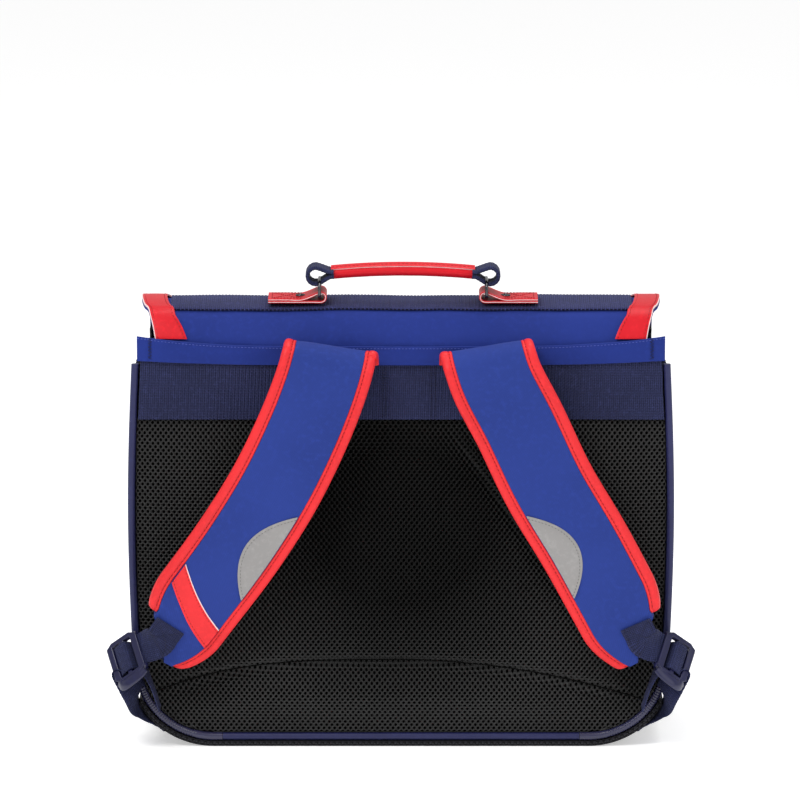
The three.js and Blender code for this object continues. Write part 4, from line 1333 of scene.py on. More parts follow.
def hem_low_edge(x):
    return HEM_BOTTOM - HEM_SAG_BOTTOM * (1 - (x / HEM_HALF_WIDTH) ** 4)


def hem_high_edge(x):
    return HEM_BOTTOM + HEM_HEIGHT - HEM_SAG_TOP * (1 - (x / HEM_HALF_WIDTH) ** 4)


def hem_band():
    def point_at(u, v):
        x = (2 * u - 1) * HEM_HALF_WIDTH
        z = lerp(hem_low_edge(x), hem_high_edge(x), v)
        return hem_surface(x, z)

    rows = grid_of(point_at, rolled_shares(280, 0.0015), rolled_shares(16, 0.03))
    body = walled(rows, HEM_WALL, facing=1, roll=0.7)
    dress(body.piece("hem_cloth", blue_cloth), "hem_band", slot="blue_fabric")
    top = []
    reach = HEM_HALF_WIDTH - 1
    below_edge = 1.6
    for share in even_shares(200):
        x = lerp(-reach, reach, share)
        top.append(hem_surface(x, hem_high_edge(x) - below_edge, 0.25))
    zigzags = []
    zigzag = 1.3
    for sign in (-1, 1):
        path = []
        for i in range(13):
            x = sign * (HEM_TUCK_X + (zigzag if i % 2 else -zigzag))
            path.append(hem_surface(x, HEM_BOTTOM + 1.5 + i * zigzag, 0.1))
        zigzags.append(path)
    stitched("hem_stitches", [top], blue_thread, "blue_fabric", pitch=2.6, length=1.7, size=0.5)
    stitched("hem_tacks", zigzags, navy_thread, "blue_fabric", pitch=1.0, length=1.2, size=0.45)


# Sides, base, front and piping

def side_gusset(side, sign):
    """One side wall, sagging between its edges, down to where the base starts."""
    last_angle = BASE_START_ANGLE - math.degrees(math.asin(CLEARANCE / CORNER_RADIUS))
    rim = [*side_stations(60), *corner_stations(0, last_angle)]
    rows = []
    for v, station in zip(even_shares(len(rim) - 1), rim):
        down = math.sin(math.pi * min(1, v + 0.1))
        row = []
        for u in even_shares(24):
            middle = math.sin(math.pi * u)
            sag = GUSSET_SAG * middle ** 2 * down ** 2
            fold = ripple(Vector((0, u * BODY_DEPTH, station[1])), 38, 1.3, 0.7 * sign) * middle
            out = GUSSET_WALL - PIPING_RADIUS - sag - fold
            place = beside_rim(station, out, lerp(GUSSET_Y, -GUSSET_Y, u))
            place.x *= sign
            place.z -= FRONT_DROP * u * smoothstep(place.z, CORNER_Z, BODY_TOP)
            row.append(place)
        rows.append(row)
    body = walled(rows, GUSSET_WALL, facing=-sign)
    dress(body.piece(f"gusset_{side}", navy_cloth), f"side_{side}", slot="navy_fabric")


def top_gusset(side, sign):
    """The black corner above the side, arched and leaning in under the flap."""
    start = rim_half_at(BODY_TOP) - PIPING_RADIUS + GUSSET_WALL
    back_inset = 12
    front_inset = 18
    front_fall = 0.45

    def point_at(u, v):
        arch = math.sin(math.pi * (0.15 + 0.7 * u))
        height = TOP_GUSSET_HEIGHT * (0.45 + 0.55 * arch) * (1 - front_fall * u)
        lean = TOP_GUSSET_LEAN * smoothstep(v, 0, 0.25)
        y = lerp(BACK_Y + back_inset, FRONT_Y - front_inset, u)
        fold = ripple(Vector((0, y, v * 36)), 20, 1.0, sign)
        drop = FRONT_DROP * (GUSSET_Y - y) / (2 * GUSSET_Y)
        return Vector((sign * (start - lean - fold), y, BODY_TOP + CLEARANCE - drop + v * height))

    rows = grid_of(point_at, even_shares(30), even_shares(12))
    body = walled(rows, TOP_GUSSET_WALL, facing=sign)
    dress(body.piece(f"gusset_corner_{side}", black_cloth), f"top_gusset_{side}", slot="black_fabric")


def base():
    """The stiff base, turned up at both corners, in coarse black cloth."""
    outside = SEAT_INSET + BASE_SKIN
    under = SEAT_INSET
    inside = -PIPING_RADIUS
    step = -GUSSET_Y
    round_off = 1.2
    section = [
        (outside, BACK_Y + round_off), (outside - round_off, BACK_Y), (under, BACK_Y),
        (under, -step), (inside, -step), (inside, step), (under, step), (under, FRONT_Y),
        (outside - round_off, FRONT_Y), (outside, FRONT_Y - round_off),
    ]
    rim = whole_rim(corner_stations(BASE_START_ANGLE, 90, 2))
    stations = []
    for station in rim:
        out = Vector((station[2], 0, station[3]))
        stations.append((beside_rim(station, 0, 0), out, Y))
    body = swept(stations, section)
    dress(body.piece("base_cloth", black_cloth, smooth_angle=50), "base", slot="black_fabric")
    bead = []
    for station in rim:
        bead.append(beside_rim(station, under + 1.6, BACK_Y - 0.1))
    stitched("base_stitches", [bead], dark_thread, "black_fabric", pitch=2.2, length=1.6)


def front_surface_y(x, z):
    u = x / RIM_HALF_WIDEST
    w = (z - CORNER_Z + CORNER_RADIUS) / (BODY_TOP - CORNER_Z + CORNER_RADIUS)
    swell = (1 - u ** 4) * math.sin(math.pi * clamp(w))
    return FRONT_Y - PIPING_RADIUS + FRONT_BULGE * swell


def front_panel():
    rim = [*side_stations(40, FRONT_TOP_SHARE), *corner_stations(0, 90)]
    edges = [beside_rim(station, -SEAT_INSET, 0) for station in rim]
    rows = []
    for edge in edges:
        row = []
        for share in even_shares(60):
            x = (1 - 2 * share) * edge.x
            fold = ripple(Vector((x, 0, edge.z)), 60, 1.0) * (1 - (x / RIM_HALF_WIDEST) ** 4)
            row.append(Vector((x, front_surface_y(x, edge.z) + fold, edge.z)))
        rows.append(row)
    body = walled(rows, FRONT_WALL, facing=-1)
    dress(body.piece("front_cloth", blue_cloth), "front_panel", slot="blue_fabric")


def pipings():
    """Vinyl piping round the body, with ribbed guards on the lower back corners."""
    y = BACK_Y + PIPING_RADIUS
    section = round_section(PIPING_RADIUS, 18)
    side = [*side_stations(60), *corner_stations(0, GUARD_START_ANGLE)]
    gap = math.degrees(CLEARANCE / CORNER_RADIUS)
    guard = [*corner_stations(GUARD_START_ANGLE + gap, 90), bottom_station(CORNER_X - GUARD_RUN)]
    for name, sign in SIDES:
        rim = side if sign > 0 else [mirrored(s) for s in side]
        body = swept(rim_stations(rim, y), section)
        dress(body.piece(f"piping_vinyl_{name}", vinyl), f"piping_{name}", slot="navy_piping")
        rim = guard if sign > 0 else [mirrored(s) for s in guard]
        corner_guard(name, rim, y)
    low = [bottom_station(lerp(CORNER_X - GUARD_RUN - CLEARANCE, 0, i / 30)) for i in range(30)]
    body = swept(rim_stations(whole_rim(low), y), section)
    dress(body.piece("piping_vinyl_bottom", vinyl), "piping_bottom", slot="navy_piping")
    front = whole_rim([*side_stations(40, FRONT_TOP_SHARE), *corner_stations(0, 90)])
    body = swept(rim_stations(front, -y), section)
    dress(body.piece("piping_vinyl_front", vinyl), "piping_front", slot="navy_piping")


def corner_guard(side, rim, y):
    """A tube with close rings round the corner and a smooth collar at its inner end."""
    curve = SmoothCurve([beside_rim(station, 0, y) for station in rim])
    ring_pitch = 2.0
    ring_depth = 0.15
    collar = 20.0
    count = round(curve.length / (ring_pitch / 5))
    stations = []
    for share in even_shares(count):
        t = curve.at_share(share)
        along = share * curve.length
        tangent = curve.tangent(t)
        out = tangent.cross(Y).normalized()
        waist = 0.5 + 0.5 * math.cos(2 * math.pi * along / ring_pitch)
        plain = smoothstep(along, curve.length - collar - 2, curve.length - collar)
        size = 1 - ring_depth * waist * (1 - plain)
        stations.append((curve.point(t), out * size, -Y * size))
    body = swept(stations, round_section(GUARD_RADIUS, 16))
    piece = body.piece(f"corner_guard_{side}", guard_plastic, smooth_angle=60)
    dress(piece, f"piping_guard_{side}", slot="navy_plastic")


# Flap

flap_profile = SmoothCurve([
    Vector((wide * FLAP_HALF_WIDTH, BACK_Y + deep * FLAP_DEPTH, BODY_TOP + high * FLAP_RISE))
    for deep, high, wide in FLAP_ROWS
])


def over_flap(x, along, lift):
    at = flap_profile.point(along)
    tangent = flap_profile.tangent(along)
    tangent.x = 0
    tangent.normalize()
    return Vector((x, at.y - tangent.z * lift, at.z + tangent.y * lift))


def flap_pucker(x, along):
    """Small upright puckers above the hem, and broad unevenness on the roof."""
    at = flap_profile.point(along)
    rise = at.z - BODY_TOP
    low = bell(rise - 16, 14) if at.y < 0 else 0.0
    puckers = ripple(Vector((x, 0, at.z * 0.35)), 9, 0.8) * low
    broad = ripple(Vector((x, at.y, at.z)), 48, 1.5, 0.4)
    return puckers + broad * clamp(rise / 20)


def along_flap(setback):
    low = 0.0
    high = 0.7
    for i in range(40):
        middle = (low + high) / 2
        if flap_profile.point(middle).y < BACK_Y + setback:
            low = middle
        else:
            high = middle
    return (low + high) / 2


def flap():
    """The blue flap, from its root behind the hem over the roof and down the front."""
    sunk = 0.4

    def point_at(u, v):
        half = flap_profile.point(v).x
        x = (2 * u - 1) * half
        return over_flap(x, v, flap_pucker(x, v) - sunk)

    rows = grid_of(point_at, even_shares(150), even_shares(110))
    body = walled(rows, FLAP_WALL - 0.6, facing=1)
    piece = dress(body.piece("flap_cloth", blue_cloth), "flap", slot="blue_fabric")
    long_way = SmoothCurve([over_flap(0, v, 0) for v in even_shares(60)]).length


def flap_trim(side, sign):
    """Leather trim down each end of the flap, stitched near both edges, with a raw outer edge."""
    lift = CLEARANCE + FLAP_TRIM_WALL
    hem_top = HEM_BOTTOM + HEM_HEIGHT - HEM_SAG_TOP / 4 + CLEARANCE
    first = 0.0
    while over_flap(0, first, lift).z < hem_top - 1.0:
        first += 0.002

    def width_at(v):
        return FLAP_TRIM_WIDTH + FLAP_TRIM_FLARE * max(0, 1 - v / FLAP_TRIM_FLARE_RUN)

    def point_at(u, v):
        along = lerp(first, 1, v)
        x = sign * (flap_profile.point(along).x - width_at(v) * (1 - u))
        bend = ripple(Vector((x, 0, 90 * v)), 16, 0.5, 0.2 * sign)
        return over_flap(x, along, lift + 0.5 + bend)

    rows = grid_of(point_at, rolled_shares(10, 0.03), even_shares(150))
    body = walled(rows, FLAP_TRIM_WALL, facing=sign, roll=0.2, raw="last")
    piece = body.piece(f"flap_trim_leather_{side}", red_leather, raw_edge)
    dress(piece, f"flap_trim_{side}", slot="red_leather")
    seams = []
    for inner in (False, True):
        path = []
        for v in even_shares(120):
            along = lerp(first + 0.006, 0.99, v)
            inset = width_at(v) - 2.2 if inner else 2.4
            x = sign * (flap_profile.point(along).x - inset)
            path.append(over_flap(x, along, lift + 0.55))
        seams.append(path)
    stitched(f"flap_trim_stitches_{side}", seams, red_thread, "red_leather")


def top_webbing():
    """Webbing along the flap's ridge, with a wavy back edge that draws in under the tabs."""
    start = along_flap(TOP_BAND_SETBACK)
    end = along_flap(TOP_BAND_SETBACK + TOP_BAND_WIDTH)
    half = FLAP_HALF_WIDTH - FLAP_TRIM_WIDTH - CLEARANCE
    wave_run = 31
    tab_middle = 80
    steps = round(2 * half / RIB_PITCH) * STEPS_PER_RIB

    def point_at(u, v):
        x = (2 * u - 1) * half
        wave = 1.2 * math.sin(x / wave_run) + ripple(Vector((x, 0, 0)), 22, 1.8)
        under_tab = 1.6 * bell(abs(x - HANDLE_X) - tab_middle, 18)
        along = lerp(start, end, v) - (wave - under_tab) * 0.0012 * (1 - v)
        return over_flap(x, along, CLEARANCE + TOP_BAND_WALL + flap_pucker(x, along) * 0.8)

    rows = grid_of(point_at, even_shares(steps), rolled_shares(10, 0.012))
    body = walled(rows, TOP_BAND_WALL, facing=1, roll=0.4)
    piece = ribbed(body, "top_webbing_cloth", top_webbing_cloth)
    dress(piece, "top_webbing", slot="navy_webbing")


# Carrying handle

def handle_seat():
    half = TAB_DEPTH / 2
    heights = []
    for offset in (-half, 0, half):
        along = along_flap(HANDLE_SETBACK + offset)
        heights.append(over_flap(0, along, CLEARANCE + TOP_BAND_WALL).z)
    return max(heights) + CLEARANCE


SEAT_Z = handle_seat()
GRIP_Z = SEAT_Z + GRIP_LIFT - CLEARANCE


def at_handle(x, z, sign, y=0.0):
    """A place so far from the handle's middle on one side."""
    return Vector((HANDLE_X + sign * x, HANDLE_Y + y, z))


def arc_points(x, z, radius, start, end, steps):
    """Points of an arc, with its angles in half turns."""
    points = []
    for share in even_shares(steps):
        angle = math.pi * lerp(start, end, share)
        points.append((x + radius * math.cos(angle), z + radius * math.sin(angle)))
    return points


def upright_strip(route, sign, depth, wall, spacing=0.8):
    """A strip that stands across the handle, along a route of (x, z) points on one side."""
    curve = SmoothCurve([at_handle(x, z, sign) for x, z in route])
    stations = stations_on(curve, spacing, lambda t: Y)
    section = strip_section(depth, wall, 8)
    return stations, section


def handle_tab(side, sign):
    """A leather strip folded round the ring and laid back on itself, with raw white edges."""
    radius = TAB_LOOP_RADIUS - TAB_WALL / 2
    loop_x = RING_OFFSET - TAB_BEFORE_RING
    low = SEAT_Z + TAB_WALL / 2
    high = SEAT_Z + 1.5 * TAB_WALL
    slope_end = loop_x + 0.28 * TAB_LENGTH
    route = [
        (TAB_REACH, high), (lerp(slope_end, TAB_REACH, 0.5), high), (slope_end + 2, high),
        *arc_points(loop_x, SEAT_Z + TAB_LOOP_RADIUS, radius, 0.34, 1.5, 8),
        (loop_x + 6, low), (lerp(loop_x, TAB_REACH, 0.5), low), (TAB_REACH, low),
    ]
    stations, section = upright_strip(route, sign, TAB_DEPTH, TAB_WALL - 0.06)
    half = TAB_DEPTH / 2 - 0.01
    kinds = []
    for k, point in enumerate(section):
        after = section[(k + 1) % len(section)]
        kinds.append(int(abs(point[0]) > half and abs(after[0]) > half))
    body = swept(stations, section, kinds)
    piece = body.piece(f"handle_tab_leather_{side}", red_leather, raw_edge)
    dress(piece, f"handle_tab_{side}", slot="red_leather")
    top = SEAT_Z + 2 * TAB_WALL + 0.12
    inner = slope_end + 3
    outer = TAB_REACH - 3
    reach = TAB_DEPTH / 2 - 3
    seams = []
    for corners in (
        [(inner, -reach), (outer, -reach), (outer, reach), (inner, reach), (inner, -reach)],
        [(inner, -reach), (outer, reach)],
        [(inner, reach), (outer, -reach)],
    ):
        seams.append([at_handle(x, top, sign, y) for x, y in corners])
    stitched(f"handle_tab_stitches_{side}", seams, red_thread, "red_leather", pitch=2.4, length=1.8)


def lathe(profile, place, steps=28):
    """A turned body from (radius, height) points, closed on its axis at both ends."""
    body = Body()
    rings = []
    for radius, height in profile:
        if radius < 1e-6:
            rings.append([body.point(place + Z * height)])
            continue
        ring = []
        for k in range(steps):
            angle = 2 * math.pi * k / steps
            spoke = Vector((radius * math.cos(angle), radius * math.sin(angle), height))
            ring.append(body.point(place + spoke))
        rings.append(ring)
    for lower, upper in zip(rings, rings[1:]):
        for k in range(steps):
            m = (k + 1) % steps
            low_edge = [lower[k % len(lower)], lower[m % len(lower)]]
            high_edge = [upper[m % len(upper)], upper[k % len(upper)]]
            corners = [*low_edge, *high_edge]
            unique = list(dict.fromkeys(corners))
            body.face(unique, [(body.points[c].x, body.points[c].y) for c in unique])
    return body


def handle_rivet(side, sign):
    place = at_handle(RIVET_OFFSET, SEAT_Z + 2 * TAB_WALL + 0.05, sign)
    r = RIVET_RADIUS
    h = RIVET_HEIGHT
    profile = [
        (0, 0), (r, 0), (r, 0.35 * h), (0.92 * r, 0.62 * h), (0.78 * r, 0.7 * h),
        (0.7 * r, 0.5 * h), (0.5 * r, 0.55 * h), (0.38 * r, 0.95 * h), (0.2 * r, 1.1 * h), (0, 1.13 * h),
    ]
    dress(lathe(profile, place).piece(f"rivet_cap_{side}", gunmetal), f"rivet_{side}", slot="dark_metal")


def handle_ring(side, sign):
    half_length = TAB_DEPTH / 2 + RING_WIRE + 2 * CLEARANCE
    half_height = (RING_HEIGHT - RING_SLACK) / 2
    centre = at_handle(RING_OFFSET, SEAT_Z + TAB_WALL + RING_WIRE + CLEARANCE + half_height, sign)
    stations = []
    steps = 96
    for i in range(steps):
        angle = 2 * math.pi * i / steps
        cos = math.cos(angle)
        sin = math.sin(angle)
        y = math.copysign(abs(cos) ** RING_SQUARENESS, cos) * half_length
        z = math.copysign(abs(sin) ** RING_SQUARENESS, sin) * half_height
        outward = Vector((0, y / half_length, z / half_height)).normalized()
        stations.append((centre + Vector((0, y, z)), outward, X))
    body = swept(stations, round_section(RING_WIRE, 12), joined=True)
    dress(body.piece(f"ring_wire_{side}", gunmetal), f"ring_{side}", slot="dark_metal")


def handle_loop(side, sign):
    """Webbing from the end of the grip round the ring and back."""
    grip_end = GRIP_LENGTH / 2 + CLEARANCE
    inner_radius = LOOP_RADIUS - LOOP_WALL
    middle_radius = LOOP_RADIUS - LOOP_WALL / 2
    loop_x = RING_OFFSET + inner_radius - RING_WIRE - LOOP_SHIFT
    ring_top = SEAT_Z + TAB_WALL + CLEARANCE + 2 * RING_WIRE + RING_HEIGHT
    loop_z = ring_top + 0.4 - 0.15 * inner_radius
    half = GRIP_HEIGHT * 0.36 - LOOP_WALL / 2
    end_z = GRIP_Z - GRIP_ARCH
    tucked_in = grip_end - 2.5
    route = [
        (tucked_in, end_z + half), (grip_end, end_z + half),
        *arc_points(loop_x, loop_z, middle_radius, 0.5, -0.6, 10),
        (grip_end, end_z - half), (tucked_in, end_z - half),
    ]
    stations, section = upright_strip(route, sign, LOOP_DEPTH, LOOP_WALL - 0.2, 0.5)
    piece = ribbed(swept(stations, section), f"handle_loop_webbing_{side}", navy_webbing, height=0.2)
    dress(piece, f"handle_loop_{side}", slot="navy_webbing")


def handle_grip():
    """A padded leather grip, its wrap overlapping along the top with a raw edge to the back."""
    count = 120
    core = []
    wrap = []
    for share in even_shares(count):
        s = 2 * share - 1
        z = GRIP_Z - GRIP_ARCH * s * s
        slack = ripple(Vector((s * GRIP_LENGTH / 2, 0, 0)), 9, 0.25)
        place = Vector((HANDLE_X + s * GRIP_LENGTH / 2, HANDLE_Y, z))
        core.append((place, Y * (1 + 0.03 * slack), Z * (1 + 0.06 * slack)))
        wrap.append((place, Y, Z))
    half_y = GRIP_DEPTH / 2
    half_z = GRIP_HEIGHT / 2
    oval = []
    for k in range(28):
        angle = 2 * math.pi * k / 28
        oval.append((half_y * math.cos(angle), half_z * math.sin(angle)))
    body = swept(core, oval)
    wall = 1.2
    sunk = 0.2
    wrap_start = 35
    wrap_end = 142
    seam_angle = 122
    outer = []
    inner = []
    for share in even_shares(12):
        angle = math.radians(lerp(wrap_start, wrap_end, share))
        outer.append(((half_y + wall) * math.cos(angle), (half_z + wall) * math.sin(angle)))
        inner.append(((half_y - sunk) * math.cos(angle), (half_z - sunk) * math.sin(angle)))
    section = [*outer, *reversed(inner)]
    kinds = [0] * len(section)
    kinds[len(outer) - 1] = 1
    kinds[-1] = 1
    body.add(swept(wrap, section, kinds))
    piece = body.piece("handle_grip_leather", red_leather, raw_edge)
    dress(piece, "handle_grip", slot="red_leather")
    angle = math.radians(seam_angle)
    seam = []
    for place, side, up in wrap[2:-2]:
        aside = (half_y + wall) * math.cos(angle)
        above = (half_z + wall) * math.sin(angle) + 0.05
        seam.append(place + Y * aside + Z * above)
    stitched("handle_grip_stitches", [seam], red_thread, "red_leather", pitch=3.0, length=2.2, size=0.5)


# Shoulder straps

# How full the strap is counts this much in its pose curve, beside the two angles in degrees
FULL_SCALE = 10


class StrapLine:
    """One strap's centre line and cross directions, from its table."""

    def __init__(self, side, sign):
        root = STRAP_ROOT[side]
        column = 1 if side == "left" else 2
        centre = []
        pose = []
        for row in STRAP_ROWS:
            x = sign * (root + row[column] * (STRAP_END - root))
            centre.append(Vector((x, BACK_Y - row[3] * STRAP_BOW, STRAP_TOP - row[0] * STRAP_DROP)))
            pose.append(Vector((row[4], row[5], FULL_SCALE * row[6])))
        self.centre = SmoothCurve(centre)
        self.pose = SmoothCurve(pose, 2)
        self.sign = sign
        self.length = self.centre.length
        self.steps = 600
        self.frames = [self.exact_frame(i / self.steps) for i in range(self.steps + 1)]

    def exact_frame(self, share):
        t = self.centre.at_share(share)
        tangent = self.centre.tangent(t)
        tilt, turn, full = self.pose.point(t)
        out = Vector((self.sign * math.cos(math.radians(tilt)), 0, math.sin(math.radians(tilt))))
        out = (out - tangent * out.dot(tangent)).normalized()
        out = Matrix.Rotation(self.sign * math.radians(turn), 3, tangent) @ out
        normal = tangent.cross(out) * self.sign
        return self.centre.point(t), tangent, out, normal, full / FULL_SCALE

    def frame(self, share):
        place = clamp(share) * self.steps
        start = min(int(place), self.steps - 1)
        weight = place - start
        pairs = zip(self.frames[start], self.frames[start + 1])
        return [lerp(a, b, weight) for a, b in pairs]

    def point(self, share, across, lift):
        """A place so far out across the strap and so high over its upper face."""
        at, tangent, out, normal, full = self.frame(share)
        return at + out * across + normal * (STRAP_THICKNESS / 2 * full + lift)

    def end_share(self, across):
        """The end is cut at a slant, shorter on its outer side."""
        return 1 - STRAP_END_SLANT * max(0, across + STRAP_END_POINT) / self.length

    def half_at(self, share, sign):
        """Half the strap's width on its outer side (1) or inner side (-1)."""
        from_end = (1 - share) * self.length
        if sign > 0:
            outer_cut = STRAP_END_SLANT * (STRAP_WIDTH / 2 + STRAP_END_POINT)
            left = clamp(1 - (from_end - outer_cut) / OUTER_ROUND)
            return STRAP_WIDTH / 2 - OUTER_PULL * left ** 2
        left = clamp(1 - from_end / INNER_ROUND)
        return STRAP_WIDTH / 2 - INNER_PULL * left ** 2

    def inside_at(self, share, place, gap):
        """A place from -1 to 1 across the pad, so far short of the bindings."""
        return place * (self.half_at(share, math.copysign(1, place)) - BINDING_WIDTH - gap)


def pad_swell(line, share, across):
    """The padding's low crown, its dip beside the bindings and soft dents along it."""
    half = STRAP_WIDTH / 2 - BINDING_WIDTH
    u = clamp(across / half, -1, 1)
    crown = 1.3 * (1 - u * u) - 0.5
    along = share * line.length
    fold_place = 34
    dents = ripple(Vector((across * 0.5, 0, along)), 24, 0.8, 0.3 * line.sign)
    fold = bell(along - fold_place, 4) * (1 - u * u)
    return crown + dents * (1 - u ** 4) - fold


def strap_pad(side, line):
    def point_at(u, v):
        place = 2 * u - 1
        share = v * line.end_share(place * (STRAP_WIDTH / 2 - BINDING_WIDTH))
        across = line.inside_at(share, place, -0.2)
        return line.point(share, across, pad_swell(line, share, across))

    vs = even_shares(170)
    rows = grid_of(point_at, even_shares(26), vs)

    def wall_at(i, j):
        return STRAP_THICKNESS * line.frame(vs[j])[4]

    body = walled(rows, 0, facing=-line.sign, wall_at=wall_at)
    piece = body.piece(f"strap_pad_{side}", strap_cloth)
    dress(piece, f"shoulder_strap_{side}", slot="blue_fabric")


def binding_section():
    """A folded leather edging: crowned, with a stitched groove near the pad."""
    w = BINDING_WIDTH / 2
    t = BINDING_THICKNESS / 2
    upper = [
        (-w, 0.35 * t), (-0.96 * w, 0.8 * t), (-0.82 * w, 1.0 * t), (-0.55 * w, 1.02 * t),
        (-0.46 * w, 0.9 * t), (-0.36 * w, 0.9 * t), (-0.26 * w, 1.06 * t), (0.1 * w, 1.14 * t),
        (0.5 * w, 1.08 * t), (0.8 * w, 0.86 * t), (0.96 * w, 0.5 * t), (w, 0.1 * t),
    ]
    lower = [(a, -b) for a, b in reversed(upper)]
    return [*upper, *lower]


def strap_binding(side, line, edge, sign):
    end = line.end_share(sign * (STRAP_WIDTH - BINDING_WIDTH) / 2)
    tip = 5.0 / line.length
    half_width = BINDING_WIDTH / 2
    groove_aside = 0.41 * half_width
    groove_height = 0.93 * BINDING_THICKNESS / 2
    stations = []
    groove = []
    for step in even_shares(240):
        share = step * end
        at, tangent, out, normal, full = line.frame(share)
        across = sign * (line.half_at(share, sign) - half_width)
        close = clamp((end - share) / tip)
        round_off = math.sqrt(1 - (1 - close) ** 2) if close < 1 else 1.0
        narrow = 0.6 + 0.4 * round_off
        middle = across - sign * half_width * (1 - narrow)
        slack = ripple(at, 12, 0.25)
        size = min(1, full) * (0.45 + 0.55 * round_off) + 0.08 * slack
        stations.append((at + out * middle, out * sign * narrow, normal * size))
        if close == 1:
            aside = out * (middle - sign * groove_aside)
            groove.append(at + aside + normal * (groove_height * size + 0.12))
    body = swept(stations, binding_section())
    piece = body.piece(f"strap_binding_leather_{side}_{edge}", binding_leather, smooth_angle=60)
    dress(piece, f"strap_binding_{side}_{edge}", slot="red_leather")
    return groove


def reflector(side, line):
    edge = -(STRAP_WIDTH / 2 - BINDING_WIDTH - CLEARANCE)
    centre = 1 - REFLECTOR_FROM_END[side] / line.length
    half = REFLECTOR_LENGTH / 2

    def reach_at(s):
        return 0.6 + REFLECTOR_WIDTH * (1 - s * s)

    def place(s, across):
        share = centre + s * half / line.length
        lift = max(CLEARANCE, pad_swell(line, share, across)) + PATCH_WALL * 0.7
        return line.point(share, across, lift)

    def point_at(u, v):
        s = math.sin(math.pi * (v - 0.5))
        return place(s, edge + u * reach_at(s))

    rows = grid_of(point_at, rolled_shares(12, 0.02), even_shares(60))
    body = walled(rows, PATCH_WALL, facing=-line.sign, roll=0.2)
    piece = body.piece(f"reflector_patch_{side}", reflective)
    dress(piece, f"reflector_{side}", slot="reflective_fabric")
    seam = []
    seam_inset = 2.2
    seam_reach = 0.93
    for share in even_shares(80):
        s = seam_reach * math.sin(math.pi * (share - 0.5))
        reach = (REFLECTOR_WIDTH - seam_inset) * (1 - (s / seam_reach) ** 2)
        seam.append(place(s, edge + 0.6 + reach) + line.frame(centre)[3] * 0.1)
    stitched(f"reflector_stitches_{side}", [seam], grey_thread, "reflective_fabric",
             pitch=2.6, length=1.5, size=0.5)


def strap_strip(line):
    """The leather strip slanting across the left strap, raw along its upper edge."""
    half = STRAP_WIDTH / 2 - BINDING_WIDTH - CLEARANCE
    middle_bend = 3.2

    def place(side_place, back, lift):
        bend = middle_bend * (1 - side_place ** 2)
        from_end = STRIP_FROM_END + back + STRIP_SLANT * (side_place + 1) * half - bend
        share = 1 - from_end / line.length
        across = line.inside_at(share, side_place, CLEARANCE)
        return line.point(share, across, max(CLEARANCE, pad_swell(line, share, across)) + lift)

    def point_at(u, v):
        return place(2 * u - 1, v * STRIP_WIDTH, PATCH_WALL)

    rows = grid_of(point_at, even_shares(40), rolled_shares(12, 0.045))
    body = walled(rows, PATCH_WALL + 0.3, facing=line.sign, roll=0.2, raw="high")
    piece = body.piece("strap_strip_leather", binding_leather, raw_edge)
    dress(piece, "strap_band", slot="red_leather")
    seams = []
    for back in (2, STRIP_WIDTH - 2.2):
        seams.append([place(2 * share - 1, back, PATCH_WALL + 0.08) for share in even_shares(40)])
    stitched("strap_strip_stitches", seams, red_thread, "red_leather", pitch=2.8, length=2.0, size=0.5)


# Strap ends, buckles and adjusters

def on_side(right_side, sign):
    x, y, z = right_side
    return Vector((sign * x, y, z))


def buckle_frame(sign):
    """Directions along the webbing, along the bars and off the cover, and the buckle's centre."""
    flow = on_side(BUCKLE_FLOW, sign).normalized()
    bar = on_side(BUCKLE_BAR, sign)
    bar = (bar - flow * bar.dot(flow)).normalized()
    face = flow.cross(bar) * sign
    centre = Vector((sign * BUCKLE_OUT, BACK_Y - BUCKLE_OFF_BACK, BUCKLE_UP))
    return flow, bar, face, centre


def in_buckle(frame, along, out, across=0.0):
    flow, bar, face, centre = frame
    return centre + flow * along + face * out + bar * across


def webbing_strip(points, sides, width, name):
    """Webbing through the points, with its side turning from one direction to the next."""
    curve = SmoothCurve(points)
    stations = stations_on(curve, 0.55, turning_side(sides))
    body = swept(stations, strip_section(width, WEBBING_WALL, 8))
    return ribbed(body, name, navy_webbing, pitch=2.0, height=0.3), stations


